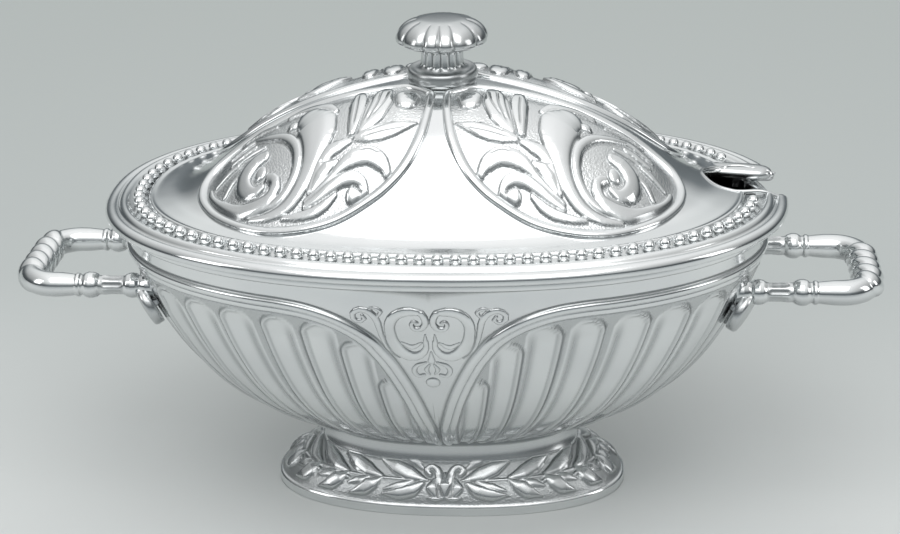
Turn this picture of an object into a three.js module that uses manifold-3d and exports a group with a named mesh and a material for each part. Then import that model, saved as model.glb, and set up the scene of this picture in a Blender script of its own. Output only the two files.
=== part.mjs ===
// Oval covered serving dish: a fluted bowl on a flared foot, two loop handles, and a domed
// lid with a knob and an opening for a ladle. Every piece is a polished casting held by
// screws from its hidden side.
// Millimetres. +X runs along the oval towards the ladle opening, -Y is the front, +Z is up,
// and the origin is the middle of the foot's underside.

import * as THREE from 'three';
import { mergeVertices } from 'three/addons/utils/BufferGeometryUtils.js';
import Module from 'manifold-3d';

const wasm = await Module();
wasm.setup();

// Gaps between pieces, how far a cut runs past the metal it goes through, and the distance
// under which corners are one.
const SEAT = 0.3;
const SCREW_PLAY = 0.3;
const OVERRUN = 6;
const WELD = 1e-4;

// The oval through the bead row of the lid, which sets the plan of bowl and lid.
const RIM_LONG = 145.6;
const RIM_SHORT = 92.5;
const OVAL_POWER = 2.23;
const RIM_STEPS = 400;

// Foot: a hollow flared casting with a plain band round its bottom edge.
const FOOT_HEIGHT = 34.7;
const FOOT_LONG = 86.5;
const FOOT_SHORT_SHARE = 0.53;
const FOOT_WALL = 3.2;
const FOOT_PLATE = 4;
const FOOT_SHARES = [
  [1, 0], [1, 0.13], [0.97, 0.2], [0.93, 0.32], [0.85, 0.44], [0.77, 0.57], [0.71, 0.73],
  [0.69, 1],
];

// Bowl: the wall as shares of its longest half length and of its height. It reaches out
// past the bead line of the lid.
const BOWL_HEIGHT = 110.2;
const BOWL_REACH = 6.9;
const BOWL_WALL = 4.5;
const BOWL_FLOOR = 8;
const LIP_WIDTH = 3;
const LIP_HEIGHT = 4.6;
const BOWL_SHARES = [
  [0.374, 0], [0.52, 0.075], [0.636, 0.16], [0.738, 0.262], [0.82, 0.383], [0.894, 0.535],
  [0.955, 0.705], [0.991, 0.85], [1, 0.935],
];

// Flutes: hollows in the lower wall, under a raised rib that sweeps over them and down to
// a V at the middle of each long side. The rib's shares run from there to the tip, and up
// the bowl. The flutes' middles are shares of the same way. A flute's rows lie at shares of
// the height under the rib, each with a share of the full depth. The plain rows lie at
// shares of the height from the rib to the lip.
const FLUTE_DEPTH = 2;
const FLUTE_COLUMNS = 3;
const FLUTE_MIDDLE_SHARES = [0.105, 0.178, 0.26, 0.359, 0.465, 0.57, 0.681, 0.788, 0.894, 1];
const FLUTE_SHARES = [[0.18, 0.6], [0.45, 1], [0.76, 1], [0.93, 0.6]];
const PLAIN_SHARES = [0.3, 0.62];
const RIB_WIDTH = 6.6;
const RIB_RISE = 1.5;
const RIB_STRETCH = 3.5;
const V_SHARES = [0, 0.03, 0.037, 0.047];
const RIB_SHARES = [
  [0, 0.03], [0.034, 0.06], [0.037, 0.227], [0.047, 0.3], [0.06, 0.39], [0.077, 0.48],
  [0.095, 0.554], [0.115, 0.626], [0.135, 0.681], [0.157, 0.726], [0.19, 0.771], [0.227, 0.808],
  [0.265, 0.83], [0.316, 0.846], [0.42, 0.851], [1, 0.852],
];

// Lid: a flange that rests on the bowl's rim, a bead row, a ledge and a dome. The flange
// reaches out past the bead line, and the ledge's edge lies inside it. The flange is given
// in shares of its width outside the bead line and of the bead line's height; the
// channel either side of the row and the ledge's edge in shares of the bead's radius.
const FLANGE_REACH = 16.1;
const SKIRT_DEPTH = 3;
const SKIRT_WALL = 3.6;
const SKIRT_PLAY = 1.2;
const LID_WALL = 3.5;
const LEDGE_INSET = 9.6;
const LEDGE_HEIGHT = 7.6;
const BEAD_LINE = 7;
const BEAD_RADIUS = 2.5;
const BEAD_BED_SHARE = 0.4;
const CHANNEL_SHARES = [1.6, 1.5];
const LEDGE_EDGE_SHARE = 1.8;
const FLANGE_UNDER_SHARE = 0.88;
const FLANGE_SHARES = [[1, 0.24], [0.94, 0.6], [0.62, 0.76], [0.42, 1.04]];
const DOME_RISE = 51.9;
const ROUND_LONG = 40;
const DOME_SHARES = [
  [1, 0], [0.93, 0.03], [0.86, 0.125], [0.75, 0.335], [0.63, 0.555], [0.49, 0.745],
  [0.34, 0.885], [0.2, 0.97], [0.135, 1],
];

// Panels: four drop-shaped raised fields on the dome, each inside a rounded rib. The
// outline is given in shares of the ledge's half length, from beside the knob round to it.
const PANEL_RISE = 2.2;
const PANEL_BLEND = 14;
const PANEL_RIB_RADIUS = 1.9;
const PANEL_RIB_RISE = 1.3;
const OUTLINE_STEPS = 80;
const OVAL_CLOSENESS = 1e-7;
const PANEL_SHARES = [
  [0.026, 0.136], [0.033, 0.235], [0.059, 0.331], [0.103, 0.401], [0.165, 0.449], [0.243, 0.482],
  [0.353, 0.507], [0.463, 0.507], [0.574, 0.485], [0.676, 0.426], [0.765, 0.335], [0.809, 0.235],
  [0.809, 0.16], [0.779, 0.103], [0.706, 0.07], [0.618, 0.055], [0.5, 0.046], [0.368, 0.047],
  [0.25, 0.054], [0.118, 0.069],
];

// Scrolls: the main leaves of a panel, as bars that rise from its face. Each has its half
// width as a share of the panel rib's, and its middle line in shares of the ledge's half
// length.
const SCROLL_RISE = 1.8;
const SCROLL_SHARES = [
  [1.8, [[0.588, 0.452], [0.515, 0.449], [0.456, 0.419], [0.422, 0.36], [0.407, 0.294],
    [0.412, 0.228], [0.434, 0.184]]],
  [1, [[0.618, 0.165], [0.537, 0.21], [0.478, 0.272], [0.463, 0.338], [0.485, 0.401],
    [0.529, 0.426]]],
  [1.3, [[0.776, 0.265], [0.757, 0.324], [0.706, 0.379], [0.632, 0.415], [0.566, 0.414],
    [0.535, 0.382], [0.551, 0.357]]],
  [1.3, [[0.426, 0.451], [0.346, 0.415], [0.287, 0.379], [0.221, 0.374], [0.173, 0.396],
    [0.154, 0.418]]],
];

// Ladle opening: a U cut through the lid's edge near the +X tip, open outwards.
const NOTCH_HALF_WIDTH = 17;
const NOTCH_INSET = 6.1;
const NOTCH_OFFSET = 14;

// Knob: a lobed cap on a fluted neck above a dished collar, as shares of radius and height.
// The lobes' edges are degrees from the front, the same on all four quarters. Cap and neck
// shares are the heights between which each pattern comes in and goes out.
const KNOB_RADIUS = 21.2;
const KNOB_HEIGHT = 30.4;
const KNOB_BORE = 11;
const KNOB_LOBE_DEPTH = 0.7;
const KNOB_NECK_DEPTH = 0.7;
const KNOB_NECK_FLUTES = 14;
const KNOB_LOBE_EDGES = [0, 21.3, 55.7, 90];
const KNOB_CAP_SHARES = [0.62, 0.7, 0.93, 0.975];
const KNOB_NECK_SHARES = [0.27, 0.33, 0.56, 0.62];
const KNOB_SHARES = [
  [0.7, 0], [0.765, 0.05], [0.774, 0.19], [0.735, 0.245], [0.59, 0.25], [0.49, 0.32],
  [0.462, 0.43], [0.48, 0.53], [0.547, 0.6], [0.71, 0.625], [0.91, 0.685], [1, 0.766],
  [0.965, 0.84], [0.86, 0.905], [0.7, 0.955], [0.53, 0.984], [0.28, 0.997],
];

// Handles: a turned bar bent into a loop that lies level, on two round pads.
const HANDLE_REACH = 207;
const HANDLE_HEIGHT = 112.5;
const ARM_SPREAD = 59;
const BAR_RADIUS = 4.75;
const GRIP_RADIUS = 6.2;
const GRIP_RINGS = 4;
const GRIP_RING_LENGTH = 8.5;
const GRIP_LEAN = 0.35;
const GRIP_RING_SHARES = [[0, 0.8], [0.3, 1], [0.7, 1]];
const BEND_RADIUS = 14;
const PAD_DROP = 7.5;
const PAD_RADIUS = 10.5;
const PAD_THICKNESS = 5;
const PAD_CROWN = 0.8;
const PAD_BORE = 4.2;
const ARM_SHARES = [
  [0, 1], [0.1, 1.2], [0.2, 0.92], [0.46, 0.9], [0.5, 1.18], [0.62, 1.18], [0.67, 1], [1, 1],
];

// Bosses on both faces of the bowl wall where a handle pad is screwed on.
const BOSS_RADIUS = 8;
const BOSS_RISE = 1.2;

// Fasteners: one kind of screw and washer throughout.
const SCREW_RADIUS = 2.5;
const HEAD_RADIUS = 4.6;
const HEAD_HEIGHT = 3;
const DRIVE_RADIUS = 1.5;
const DRIVE_DEPTH = 1.6;
const HEAD_ROUND_SHARES = [0.7, 0.4];
const WASHER_RADIUS = 6.2;
const WASHER_THICKNESS = 1;
const FOOT_SCREW_SPREAD = 56;
const FOOT_BORE = 5;

// Facets round each kind of shape.
const LID_COLUMNS = 40;
const SMOOTH_COLUMNS = 32;
const KNOB_COLUMNS = 28;
const BAR_SIDES = 8;
const PAD_SIDES = 12;
const SMALL_SIDES = 8;
const RIB_SIDES = 4;
const PANEL_RIB_STEPS = 14;
const SCROLL_STEPS = 5;
const LOOP_STEPS = 10;
const ROW_FACETS = 3;
const NOTCH_FACETS = 16;

// Lengths along the oval and levels that follow from the sizes above.
const BOWL_LONG = RIM_LONG + BOWL_REACH;
const FLANGE_LONG = RIM_LONG + FLANGE_REACH;
const LEDGE_LONG = RIM_LONG - LEDGE_INSET;
const NOTCH_CENTRE = RIM_LONG - NOTCH_INSET;
const BOWL_BASE = FOOT_HEIGHT + SEAT;
const BOWL_TOP = BOWL_BASE + BOWL_HEIGHT;
const LID_BASE = BOWL_TOP + SEAT;
const LID_TOP = LID_BASE + LEDGE_HEIGHT + DOME_RISE;
const KNOB_BASE = LID_TOP + SEAT;
const SKIRT_LONG = BOWL_LONG - BOWL_WALL - SKIRT_PLAY;
const PAD_HEIGHT = HANDLE_HEIGHT - PAD_DROP;

const CAST_METAL = { color: '#c3c7ca', roughness: 0.28, metalness: 1 };
const STEEL = { color: '#b4b7ba', roughness: 0.35, metalness: 1 };
const SEAL = { color: '#dcdcd6', roughness: 0.65, metalness: 0 };

const wall = BOWL_SHARES.map(([run, rise]) => point(run * BOWL_LONG, BOWL_BASE + rise * BOWL_HEIGHT));
const dome = DOME_SHARES.map(([run, rise]) => (
  point(run * LEDGE_LONG, LID_BASE + LEDGE_HEIGHT + rise * DOME_RISE)
));
const panelOutline = new THREE.SplineCurve(
  PANEL_SHARES.map(([along, across]) => point(along * LEDGE_LONG, across * LEDGE_LONG)),
).getPoints(OUTLINE_STEPS);
const quarterLengths = rimLengths();
const quarterLength = quarterLengths.at(-1)[0];

function point(x, y) {
  return new THREE.Vector2(x, y);
}

// Half width of the oval whose half length is given: in proportion inside the rim, and at
// one distance from the rim outside it.
function ovalShort(long) {
  return long < RIM_LONG ? long * RIM_SHORT / RIM_LONG : long - RIM_LONG + RIM_SHORT;
}

// The dome turns from the oval to a circle towards the knob.
function domeShort(long) {
  const roundness = Math.exp(-((long / ROUND_LONG) ** 2));
  return THREE.MathUtils.lerp(ovalShort(long), long, roundness);
}

function footShort(long) {
  return long * FOOT_SHORT_SHARE;
}

function power(value, exponent) {
  return Math.sign(value) * Math.abs(value) ** exponent;
}

// Plan position on an oval, from the angle parameter counted from the front.
function onOval(long, short, angle) {
  const exponent = 2 / OVAL_POWER;
  return point(long * power(Math.sin(angle), exponent), -short * power(Math.cos(angle), exponent));
}

// Length along a quarter of the rim, from the front, against the angle parameter.
function rimLengths() {
  const table = [[0, 0]];
  for (let i = 1; i <= RIM_STEPS; i += 1) {
    const [length, angle] = table[i - 1];
    const next = i / RIM_STEPS * Math.PI / 2;
    const step = onOval(RIM_LONG, RIM_SHORT, angle).distanceTo(onOval(RIM_LONG, RIM_SHORT, next));
    table.push([length + step, next]);
  }
  return table;
}

// Angle parameter at a share of the way round the rim, from the front towards +X.
function evenAngle(share) {
  const quarters = share * 4;
  const quarter = Math.floor(quarters);
  const odd = Math.abs(quarter % 2) === 1;
  const within = quarters - quarter;
  const angle = interpolate(quarterLengths, (odd ? 1 - within : within) * quarterLength);
  return quarter * Math.PI / 2 + (odd ? Math.PI / 2 - angle : angle);
}

function interpolate(table, value) {
  let i = 1;
  while (i < table.length - 1 && table[i][0] < value) i += 1;
  const [low, high] = [table[i - 1], table[i]];
  return THREE.MathUtils.mapLinear(value, low[0], high[0], low[1], high[1]);
}

function radiusAt(profile, height) {
  return interpolate(profile.map((p) => [p.y, p.x]), height);
}

// The profile moved into the metal by the wall thickness, square to the surface.
function inset(profile, thickness) {
  return profile.map((p, i) => {
    const before = profile[Math.max(i - 1, 0)];
    const after = profile[Math.min(i + 1, profile.length - 1)];
    const run = after.clone().sub(before).normalize();
    return point(p.x - thickness * run.y, p.y + thickness * run.x);
  });
}

// A closed mesh as a solid for joining and cutting.
function solid(geometry) {
  geometry.deleteAttribute('normal');
  geometry.deleteAttribute('uv');
  const merged = mergeVertices(geometry, WELD);
  const corners = merged.index.array;
  const faces = [];
  for (let i = 0; i < corners.length; i += 3) {
    const [a, b, c] = [corners[i], corners[i + 1], corners[i + 2]];
    if (a !== b && b !== c && c !== a) faces.push(a, b, c);
  }
  return new wasm.Manifold(new wasm.Mesh({
    numProp: 3,
    vertProperties: Float32Array.from(merged.attributes.position.array),
    triVerts: Uint32Array.from(faces),
  }));
}

// A turned solid about Z from a profile that starts and ends on the axis.
function turned(profile, sides) {
  return new THREE.LatheGeometry(profile, sides).rotateX(Math.PI / 2);
}

// A turned shape pulled out to the oval plan. The lift moves each point up by its place.
function oval(profile, columns, short, lift = () => 0) {
  const geometry = turned(profile, columns);
  for (let i = 0; i < geometry.attributes.position.count; i += 1) {
    const share = Math.floor(i / profile.length) / columns;
    const { x: long, y: height } = profile[i % profile.length];
    const plan = onOval(long, short(long), evenAngle(share));
    geometry.attributes.position.setXYZ(i, plan.x, plan.y, height + lift(plan));
  }
  return solid(geometry);
}

function drum(radius, low, high, sides = SMALL_SIDES) {
  const profile = [point(0, low), point(radius, low), point(radius, high), point(0, high)];
  return solid(turned(profile, sides));
}

// A round bar along a curve.
function bar(curve, radius, steps, sides) {
  const outline = [];
  for (let i = 0; i < sides; i += 1) {
    const angle = i / sides * 2 * Math.PI;
    outline.push(point(radius * Math.cos(angle), radius * Math.sin(angle)));
  }
  return solid(new THREE.ExtrudeGeometry(new THREE.Shape(outline), { steps, extrudePath: curve }));
}

function moved(shape, matrix) {
  return shape.transform(matrix.elements);
}

// Places a shape made along Z so that it stands on the origin and points along the axis.
function placed(shape, origin, axis) {
  const turn = new THREE.Quaternion().setFromUnitVectors(new THREE.Vector3(0, 0, 1), axis);
  return moved(shape, new THREE.Matrix4().compose(origin, turn, new THREE.Vector3(1, 1, 1)));
}

function ribHeight(fromFront) {
  return BOWL_BASE + interpolate(RIB_SHARES, fromFront) * BOWL_HEIGHT;
}

// Half the rib's width measured up the wall, which grows where the rib runs steeply.
function ribHalf(fromFront) {
  const step = V_SHARES.at(-1) - V_SHARES.at(-2);
  const [before, after] = [Math.max(fromFront - step, 0), Math.min(fromFront + step, 1)];
  const slope = (ribHeight(after) - ribHeight(before)) / ((after - before) * quarterLength);
  const half = RIB_WIDTH / 2 * Math.min(Math.hypot(1, slope), RIB_STRETCH);
  return Math.min(half, (ribHeight(fromFront) - BOWL_BASE) / 2);
}

// Depth of the flutes as a share of the full depth: one at a flute's middle, nothing
// halfway to the next and from the first flute to the V.
function fluteShare(fromFront) {
  const phase = interpolate(FLUTE_MIDDLE_SHARES.map((share, i) => [share, i]), fromFront);
  return phase < -1 / 2 ? 0 : (1 + Math.cos(2 * Math.PI * phase)) / 2;
}

// The bowl's outer profile at a share of a quarter turn from the front: under the rib the
// wall is hollowed by the flutes, over the rib it is plain up to the lip.
function bowlProfile(fromFront) {
  const [rib, half] = [ribHeight(fromFront), ribHalf(fromFront)];
  const onWall = (height, out) => point(Math.min(radiusAt(wall, height), BOWL_LONG) + out, height);
  const hollow = fluteShare(fromFront);
  const flute = FLUTE_SHARES.map(([rise, depth]) => (
    onWall(THREE.MathUtils.lerp(BOWL_BASE, rib - half, rise), -FLUTE_DEPTH * depth * hollow)
  ));
  const [lip, under] = [BOWL_LONG + LIP_WIDTH, BOWL_TOP - LIP_HEIGHT];
  return [
    point(0, BOWL_BASE), onWall(BOWL_BASE, 0), ...flute,
    onWall(rib - half, 0), onWall(rib, RIB_RISE), onWall(rib + half, 0),
    ...PLAIN_SHARES.map((rise) => onWall(THREE.MathUtils.lerp(rib + half, under, rise), 0)),
    point(BOWL_LONG, under),
    point(lip, under), point(lip, BOWL_TOP), point(0, BOWL_TOP),
  ];
}

// Shares of a quarter turn at which the bowl has a column: close together at the V, then
// a few to each flute up to the middle of the one at the tip.
function bowlColumns() {
  const middles = FLUTE_MIDDLE_SHARES.map((share, i) => [i, share]);
  const columns = [...V_SHARES];
  for (let i = 1 - FLUTE_COLUMNS; i <= (middles.length - 1) * FLUTE_COLUMNS; i += 1) {
    columns.push(interpolate(middles, i / FLUTE_COLUMNS));
  }
  return columns;
}

// The bowl's outside: each column of a turned shape takes the profile of its own place.
function bowlOutside() {
  const columns = bowlColumns();
  const perQuarter = columns.length - 1;
  const rows = bowlProfile(0).length;
  const geometry = turned(bowlProfile(0), 4 * perQuarter);
  for (let i = 0; i < geometry.attributes.position.count; i += 1) {
    const column = Math.floor(i / rows);
    const quarter = Math.floor(column / perQuarter);
    const within = column % perQuarter;
    const fromFront = quarter % 2 === 0 ? columns[within] : columns[perQuarter - within];
    const share = (quarter % 2 === 0 ? quarter + fromFront : quarter + 1 - fromFront) / 4;
    const { x: long, y: height } = bowlProfile(fromFront)[i % rows];
    const plan = onOval(long, ovalShort(long), evenAngle(share));
    geometry.attributes.position.setXYZ(i, plan.x, plan.y, height);
  }
  return solid(geometry);
}

// Where a handle pad meets the bowl: the point on the wall and the way the wall faces.
function padSeat(alongSide, acrossSide) {
  const onWall = (across, height) => {
    const long = radiusAt(wall, height);
    const share = 1 - Math.abs(across / ovalShort(long)) ** OVAL_POWER;
    return new THREE.Vector3(alongSide * long * share ** (1 / OVAL_POWER), across, height);
  };
  const across = acrossSide * ARM_SPREAD / 2;
  const origin = onWall(across, PAD_HEIGHT);
  const up = onWall(across, PAD_HEIGHT + SEAT).sub(origin);
  const side = onWall(across + SEAT, PAD_HEIGHT).sub(origin);
  const axis = side.cross(up).multiplyScalar(alongSide).normalize();
  return { origin, axis };
}

function padSeats(alongSide) {
  return [-1, 1].map((acrossSide) => padSeat(alongSide, acrossSide));
}

function makeFoot() {
  const outside = FOOT_SHARES.map(([run, rise]) => point(run * FOOT_LONG, rise * FOOT_HEIGHT));
  const inside = inset(outside, FOOT_WALL).filter((p) => p.y < FOOT_HEIGHT - FOOT_PLATE);
  const top = point(inside.at(-1).x, FOOT_HEIGHT - FOOT_PLATE);
  const mouth = point(inside[0].x, -OVERRUN);
  const shell = oval([point(0, 0), ...outside, point(0, FOOT_HEIGHT)], SMOOTH_COLUMNS, footShort);
  const hollow = oval([point(0, mouth.y), mouth, ...inside, top, point(0, top.y)],
    SMOOTH_COLUMNS, footShort);
  const hole = drum(SCREW_RADIUS + SCREW_PLAY, 0, FOOT_HEIGHT + OVERRUN);
  return footScrewPlaces().reduce(
    (foot, place) => foot.subtract(placed(hole, place, upward())),
    shell.subtract(hollow),
  );
}

function upward() {
  return new THREE.Vector3(0, 0, 1);
}

function footScrewPlaces() {
  return [-1, 1].map((side) => new THREE.Vector3(side * FOOT_SCREW_SPREAD / 2, 0, 0));
}

function makeBowl() {
  const floor = BOWL_BASE + BOWL_FLOOR;
  const lining = inset(wall, BOWL_WALL);
  const mouth = point(BOWL_LONG - BOWL_WALL, BOWL_TOP + OVERRUN);
  const hollow = oval([
    point(0, floor), point(radiusAt(lining, floor), floor), ...lining.filter((p) => p.y > floor),
    mouth, point(0, mouth.y),
  ], SMOOTH_COLUMNS, ovalShort);
  let bowl = bowlOutside().subtract(hollow);
  const boss = drum(BOSS_RADIUS, -BOWL_WALL - BOSS_RISE, BOSS_RISE);
  const hole = drum(SCREW_RADIUS + SCREW_PLAY, -BOWL_WALL - OVERRUN, OVERRUN);
  for (const { origin, axis } of [...padSeats(-1), ...padSeats(1)]) {
    bowl = bowl.add(placed(boss, origin, axis)).subtract(placed(hole, origin, axis));
  }
  const blind = drum(SCREW_RADIUS + SCREW_PLAY, BOWL_BASE - OVERRUN, BOWL_BASE + FOOT_BORE);
  for (const place of footScrewPlaces()) bowl = bowl.subtract(placed(blind, place, upward()));
  return bowl;
}

// The lid's edge from the underside of the flange over the roll, the groove, the fillet
// and the bead row to the ledge. The bead row is one half-round here.
function flangeProfile() {
  const bed = LID_BASE + BEAD_LINE - BEAD_RADIUS * BEAD_BED_SHARE;
  const flange = (run, rise) => (
    point(THREE.MathUtils.lerp(RIM_LONG, FLANGE_LONG, run), LID_BASE + rise * BEAD_LINE)
  );
  const row = [];
  for (let i = 0; i <= ROW_FACETS; i += 1) {
    const angle = i / ROW_FACETS * Math.PI;
    row.push(point(
      RIM_LONG + BEAD_RADIUS * Math.cos(angle),
      Math.max(bed, LID_BASE + BEAD_LINE + BEAD_RADIUS * Math.sin(angle)),
    ));
  }
  const [outer, inner] = CHANNEL_SHARES;
  return [
    flange(FLANGE_UNDER_SHARE, 0), ...FLANGE_SHARES.map(([run, rise]) => flange(run, rise)),
    point(RIM_LONG + BEAD_RADIUS * outer, bed), ...row, point(RIM_LONG - BEAD_RADIUS * inner, bed),
    point(LEDGE_LONG + BEAD_RADIUS * LEDGE_EDGE_SHARE, LID_BASE + LEDGE_HEIGHT),
  ];
}

// How far a panel stands up at a place in plan: nothing at its outline, full well inside.
function panelLift(plan) {
  const place = point(Math.abs(plan.x), Math.abs(plan.y));
  if (!insideOutline(place)) return 0;
  const fromKnobSeat = place.length() - dome.at(-1).x;
  const distance = Math.min(fromKnobSeat, ...panelOutline.map((p) => p.distanceTo(place)));
  return PANEL_RISE * THREE.MathUtils.smoothstep(distance, 0, PANEL_BLEND);
}

function insideOutline(place) {
  let inside = false;
  panelOutline.forEach((a, i) => {
    const b = panelOutline[(i + 1) % panelOutline.length];
    if ((a.y > place.y) === (b.y > place.y)) return;
    const crossing = a.x + (place.y - a.y) / (b.y - a.y) * (b.x - a.x);
    if (place.x < crossing) inside = !inside;
  });
  return inside;
}

// Height of the dome above a place in plan, found by halving the range of ovals.
function domeHeight(place) {
  let low = 0;
  let high = LEDGE_LONG;
  while (high - low > LEDGE_LONG * OVAL_CLOSENESS) {
    const long = (low + high) / 2;
    const reach = Math.abs(place.x / long) ** OVAL_POWER
      + Math.abs(place.y / domeShort(long)) ** OVAL_POWER;
    if (reach > 1) low = long;
    else high = long;
  }
  const rows = dome.map((p) => [p.x, p.y]).reverse();
  return low < rows[0][0] ? LID_TOP : interpolate(rows, low);
}

function panelRib(alongSide, acrossSide) {
  const track = panelOutline.map((place) => new THREE.Vector3(
    alongSide * place.x,
    acrossSide * place.y,
    domeHeight(place) - PANEL_RIB_RADIUS + PANEL_RIB_RISE,
  ));
  return bar(new THREE.CatmullRomCurve3(track), PANEL_RIB_RADIUS, PANEL_RIB_STEPS, RIB_SIDES);
}

function panelScroll(alongSide, acrossSide, [width, shares]) {
  const radius = width * PANEL_RIB_RADIUS;
  const track = shares.map(([along, across]) => {
    const place = point(along * LEDGE_LONG, across * LEDGE_LONG);
    const height = domeHeight(place) + panelLift(place) + SCROLL_RISE - radius;
    return new THREE.Vector3(alongSide * place.x, acrossSide * place.y, height);
  });
  return bar(new THREE.CatmullRomCurve3(track), radius, SCROLL_STEPS, RIB_SIDES);
}

// The U through the lid's edge, as a tall block to cut away.
function notchCutter() {
  const outline = new THREE.Shape();
  outline.moveTo(FLANGE_LONG + OVERRUN, -NOTCH_HALF_WIDTH);
  outline.lineTo(FLANGE_LONG + OVERRUN, NOTCH_HALF_WIDTH);
  outline.lineTo(NOTCH_CENTRE, NOTCH_HALF_WIDTH);
  outline.absarc(NOTCH_CENTRE, 0, NOTCH_HALF_WIDTH, Math.PI / 2, Math.PI * 1.5, false);
  const depth = LID_TOP - LID_BASE + SKIRT_DEPTH + OVERRUN;
  const block = new THREE.ExtrudeGeometry(outline, {
    depth, bevelEnabled: false, curveSegments: NOTCH_FACETS,
  });
  return solid(block.translate(0, NOTCH_OFFSET, LID_BASE - SKIRT_DEPTH - OVERRUN));
}

function makeLid() {
  const low = LID_BASE - SKIRT_DEPTH;
  const outside = [
    point(0, low), point(SKIRT_LONG, low), point(SKIRT_LONG, LID_BASE),
    ...flangeProfile(), ...dome, point(0, LID_TOP),
  ];
  const skirtInside = SKIRT_LONG - SKIRT_WALL;
  const under = inset(dome, LID_WALL).filter((p) => p.x < LEDGE_LONG - LID_WALL / 2);
  const inside = [
    point(0, low - OVERRUN), point(skirtInside, low - OVERRUN),
    point(skirtInside, LID_BASE + LEDGE_HEIGHT / 4),
    point(LEDGE_LONG, LID_BASE + LEDGE_HEIGHT - LID_WALL),
    ...under, point(0, LID_TOP - LID_WALL),
  ];
  let lid = oval(outside, LID_COLUMNS, domeShort, panelLift);
  for (const [alongSide, acrossSide] of [[-1, -1], [-1, 1], [1, -1], [1, 1]]) {
    lid = lid.add(panelRib(alongSide, acrossSide));
    for (const scroll of SCROLL_SHARES) lid = lid.add(panelScroll(alongSide, acrossSide, scroll));
  }
  const hole = drum(SCREW_RADIUS + SCREW_PLAY, LID_BASE, LID_TOP + OVERRUN);
  return lid.subtract(oval(inside, SMOOTH_COLUMNS, domeShort)).subtract(hole).subtract(notchCutter());
}

// One between the middle two of four levels, falling smoothly to nothing at the outer two.
function window(value, [start, full, end, gone]) {
  const comes = THREE.MathUtils.smoothstep(value, start, full);
  return comes * (1 - THREE.MathUtils.smoothstep(value, end, gone));
}

// Depth of a groove pattern at an angle: lobes between the given edges, in degrees.
function lobeRelief(degrees) {
  const folded = Math.abs(degrees - 180 * Math.round(degrees / 180));
  const high = KNOB_LOBE_EDGES.findIndex((edge) => edge >= folded);
  const [from, to] = [KNOB_LOBE_EDGES[Math.max(high - 1, 0)], KNOB_LOBE_EDGES[Math.max(high, 1)]];
  const across = 2 * (folded - from) / (to - from) - 1;
  return -KNOB_LOBE_DEPTH * across ** 4;
}

function makeKnob() {
  const profile = KNOB_SHARES.map(([run, rise]) => point(run * KNOB_RADIUS, rise * KNOB_HEIGHT));
  const body = turned([point(0, 0), ...profile, point(0, KNOB_HEIGHT)], KNOB_COLUMNS);
  const position = body.attributes.position;
  for (let i = 0; i < position.count; i += 1) {
    const place = point(position.getX(i), position.getY(i));
    const radius = place.length();
    if (radius < SEAT) continue;
    const rise = position.getZ(i) / KNOB_HEIGHT;
    const angle = Math.atan2(place.x, -place.y);
    const flute = -KNOB_NECK_DEPTH * (1 + Math.cos(KNOB_NECK_FLUTES * angle)) / 2;
    const relief = window(rise, KNOB_CAP_SHARES) * lobeRelief(THREE.MathUtils.radToDeg(angle))
      + window(rise, KNOB_NECK_SHARES) * flute;
    place.setLength(radius + relief);
    position.setXY(i, place.x, place.y);
  }
  const bore = drum(SCREW_RADIUS + SCREW_PLAY, -OVERRUN, KNOB_BORE);
  return placed(solid(body).subtract(bore), new THREE.Vector3(0, 0, KNOB_BASE), upward());
}

// The bent part of a handle: an arm's end, a corner, the outer bar and back.
function handleLoop(centre, start) {
  const half = ARM_SPREAD / 2;
  const corner = (side) => [Math.PI / 4, Math.PI / 2].map((angle) => new THREE.Vector3(
    start + BEND_RADIUS * Math.sin(angle),
    side * (half - BEND_RADIUS + BEND_RADIUS * Math.cos(angle)),
    HANDLE_HEIGHT,
  ));
  const end = (side) => [start - BAR_RADIUS, start].map((along) => (
    new THREE.Vector3(along, side * half, HANDLE_HEIGHT)
  ));
  const middle = new THREE.Vector3(centre, 0, HANDLE_HEIGHT);
  const track = [...end(-1), ...corner(-1), middle, ...corner(1).reverse(), ...end(1).reverse()];
  const curve = new THREE.CatmullRomCurve3(track, false, 'centripetal');
  return bar(curve, BAR_RADIUS, LOOP_STEPS, BAR_SIDES);
}

// The grip: a row of rounded rings round the outer bar, leaning over as one.
function grip(centre) {
  const profile = [];
  const length = GRIP_RINGS * GRIP_RING_LENGTH;
  for (let i = 0; i < GRIP_RINGS; i += 1) {
    for (const [along, out] of GRIP_RING_SHARES) {
      const height = (i + along) * GRIP_RING_LENGTH - length / 2;
      const swell = Math.cos(height / length * Math.PI / 2);
      profile.push(point(GRIP_RADIUS * out * swell, height));
    }
  }
  const rings = turned([point(0, -length / 2), ...profile, point(0, length / 2)], BAR_SIDES);
  const lean = new THREE.Matrix4().makeShear(0, GRIP_LEAN, 0, 0, 0, 0);
  rings.applyMatrix4(lean).rotateX(-Math.PI / 2);
  return solid(rings.translate(centre, 0, HANDLE_HEIGHT));
}

function handlePad() {
  return solid(turned([
    point(0, 0), point(PAD_RADIUS, 0), point(PAD_RADIUS, PAD_THICKNESS - PAD_CROWN),
    point(PAD_RADIUS - PAD_CROWN, PAD_THICKNESS), point(0, PAD_THICKNESS + PAD_CROWN),
  ], PAD_SIDES));
}

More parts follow.
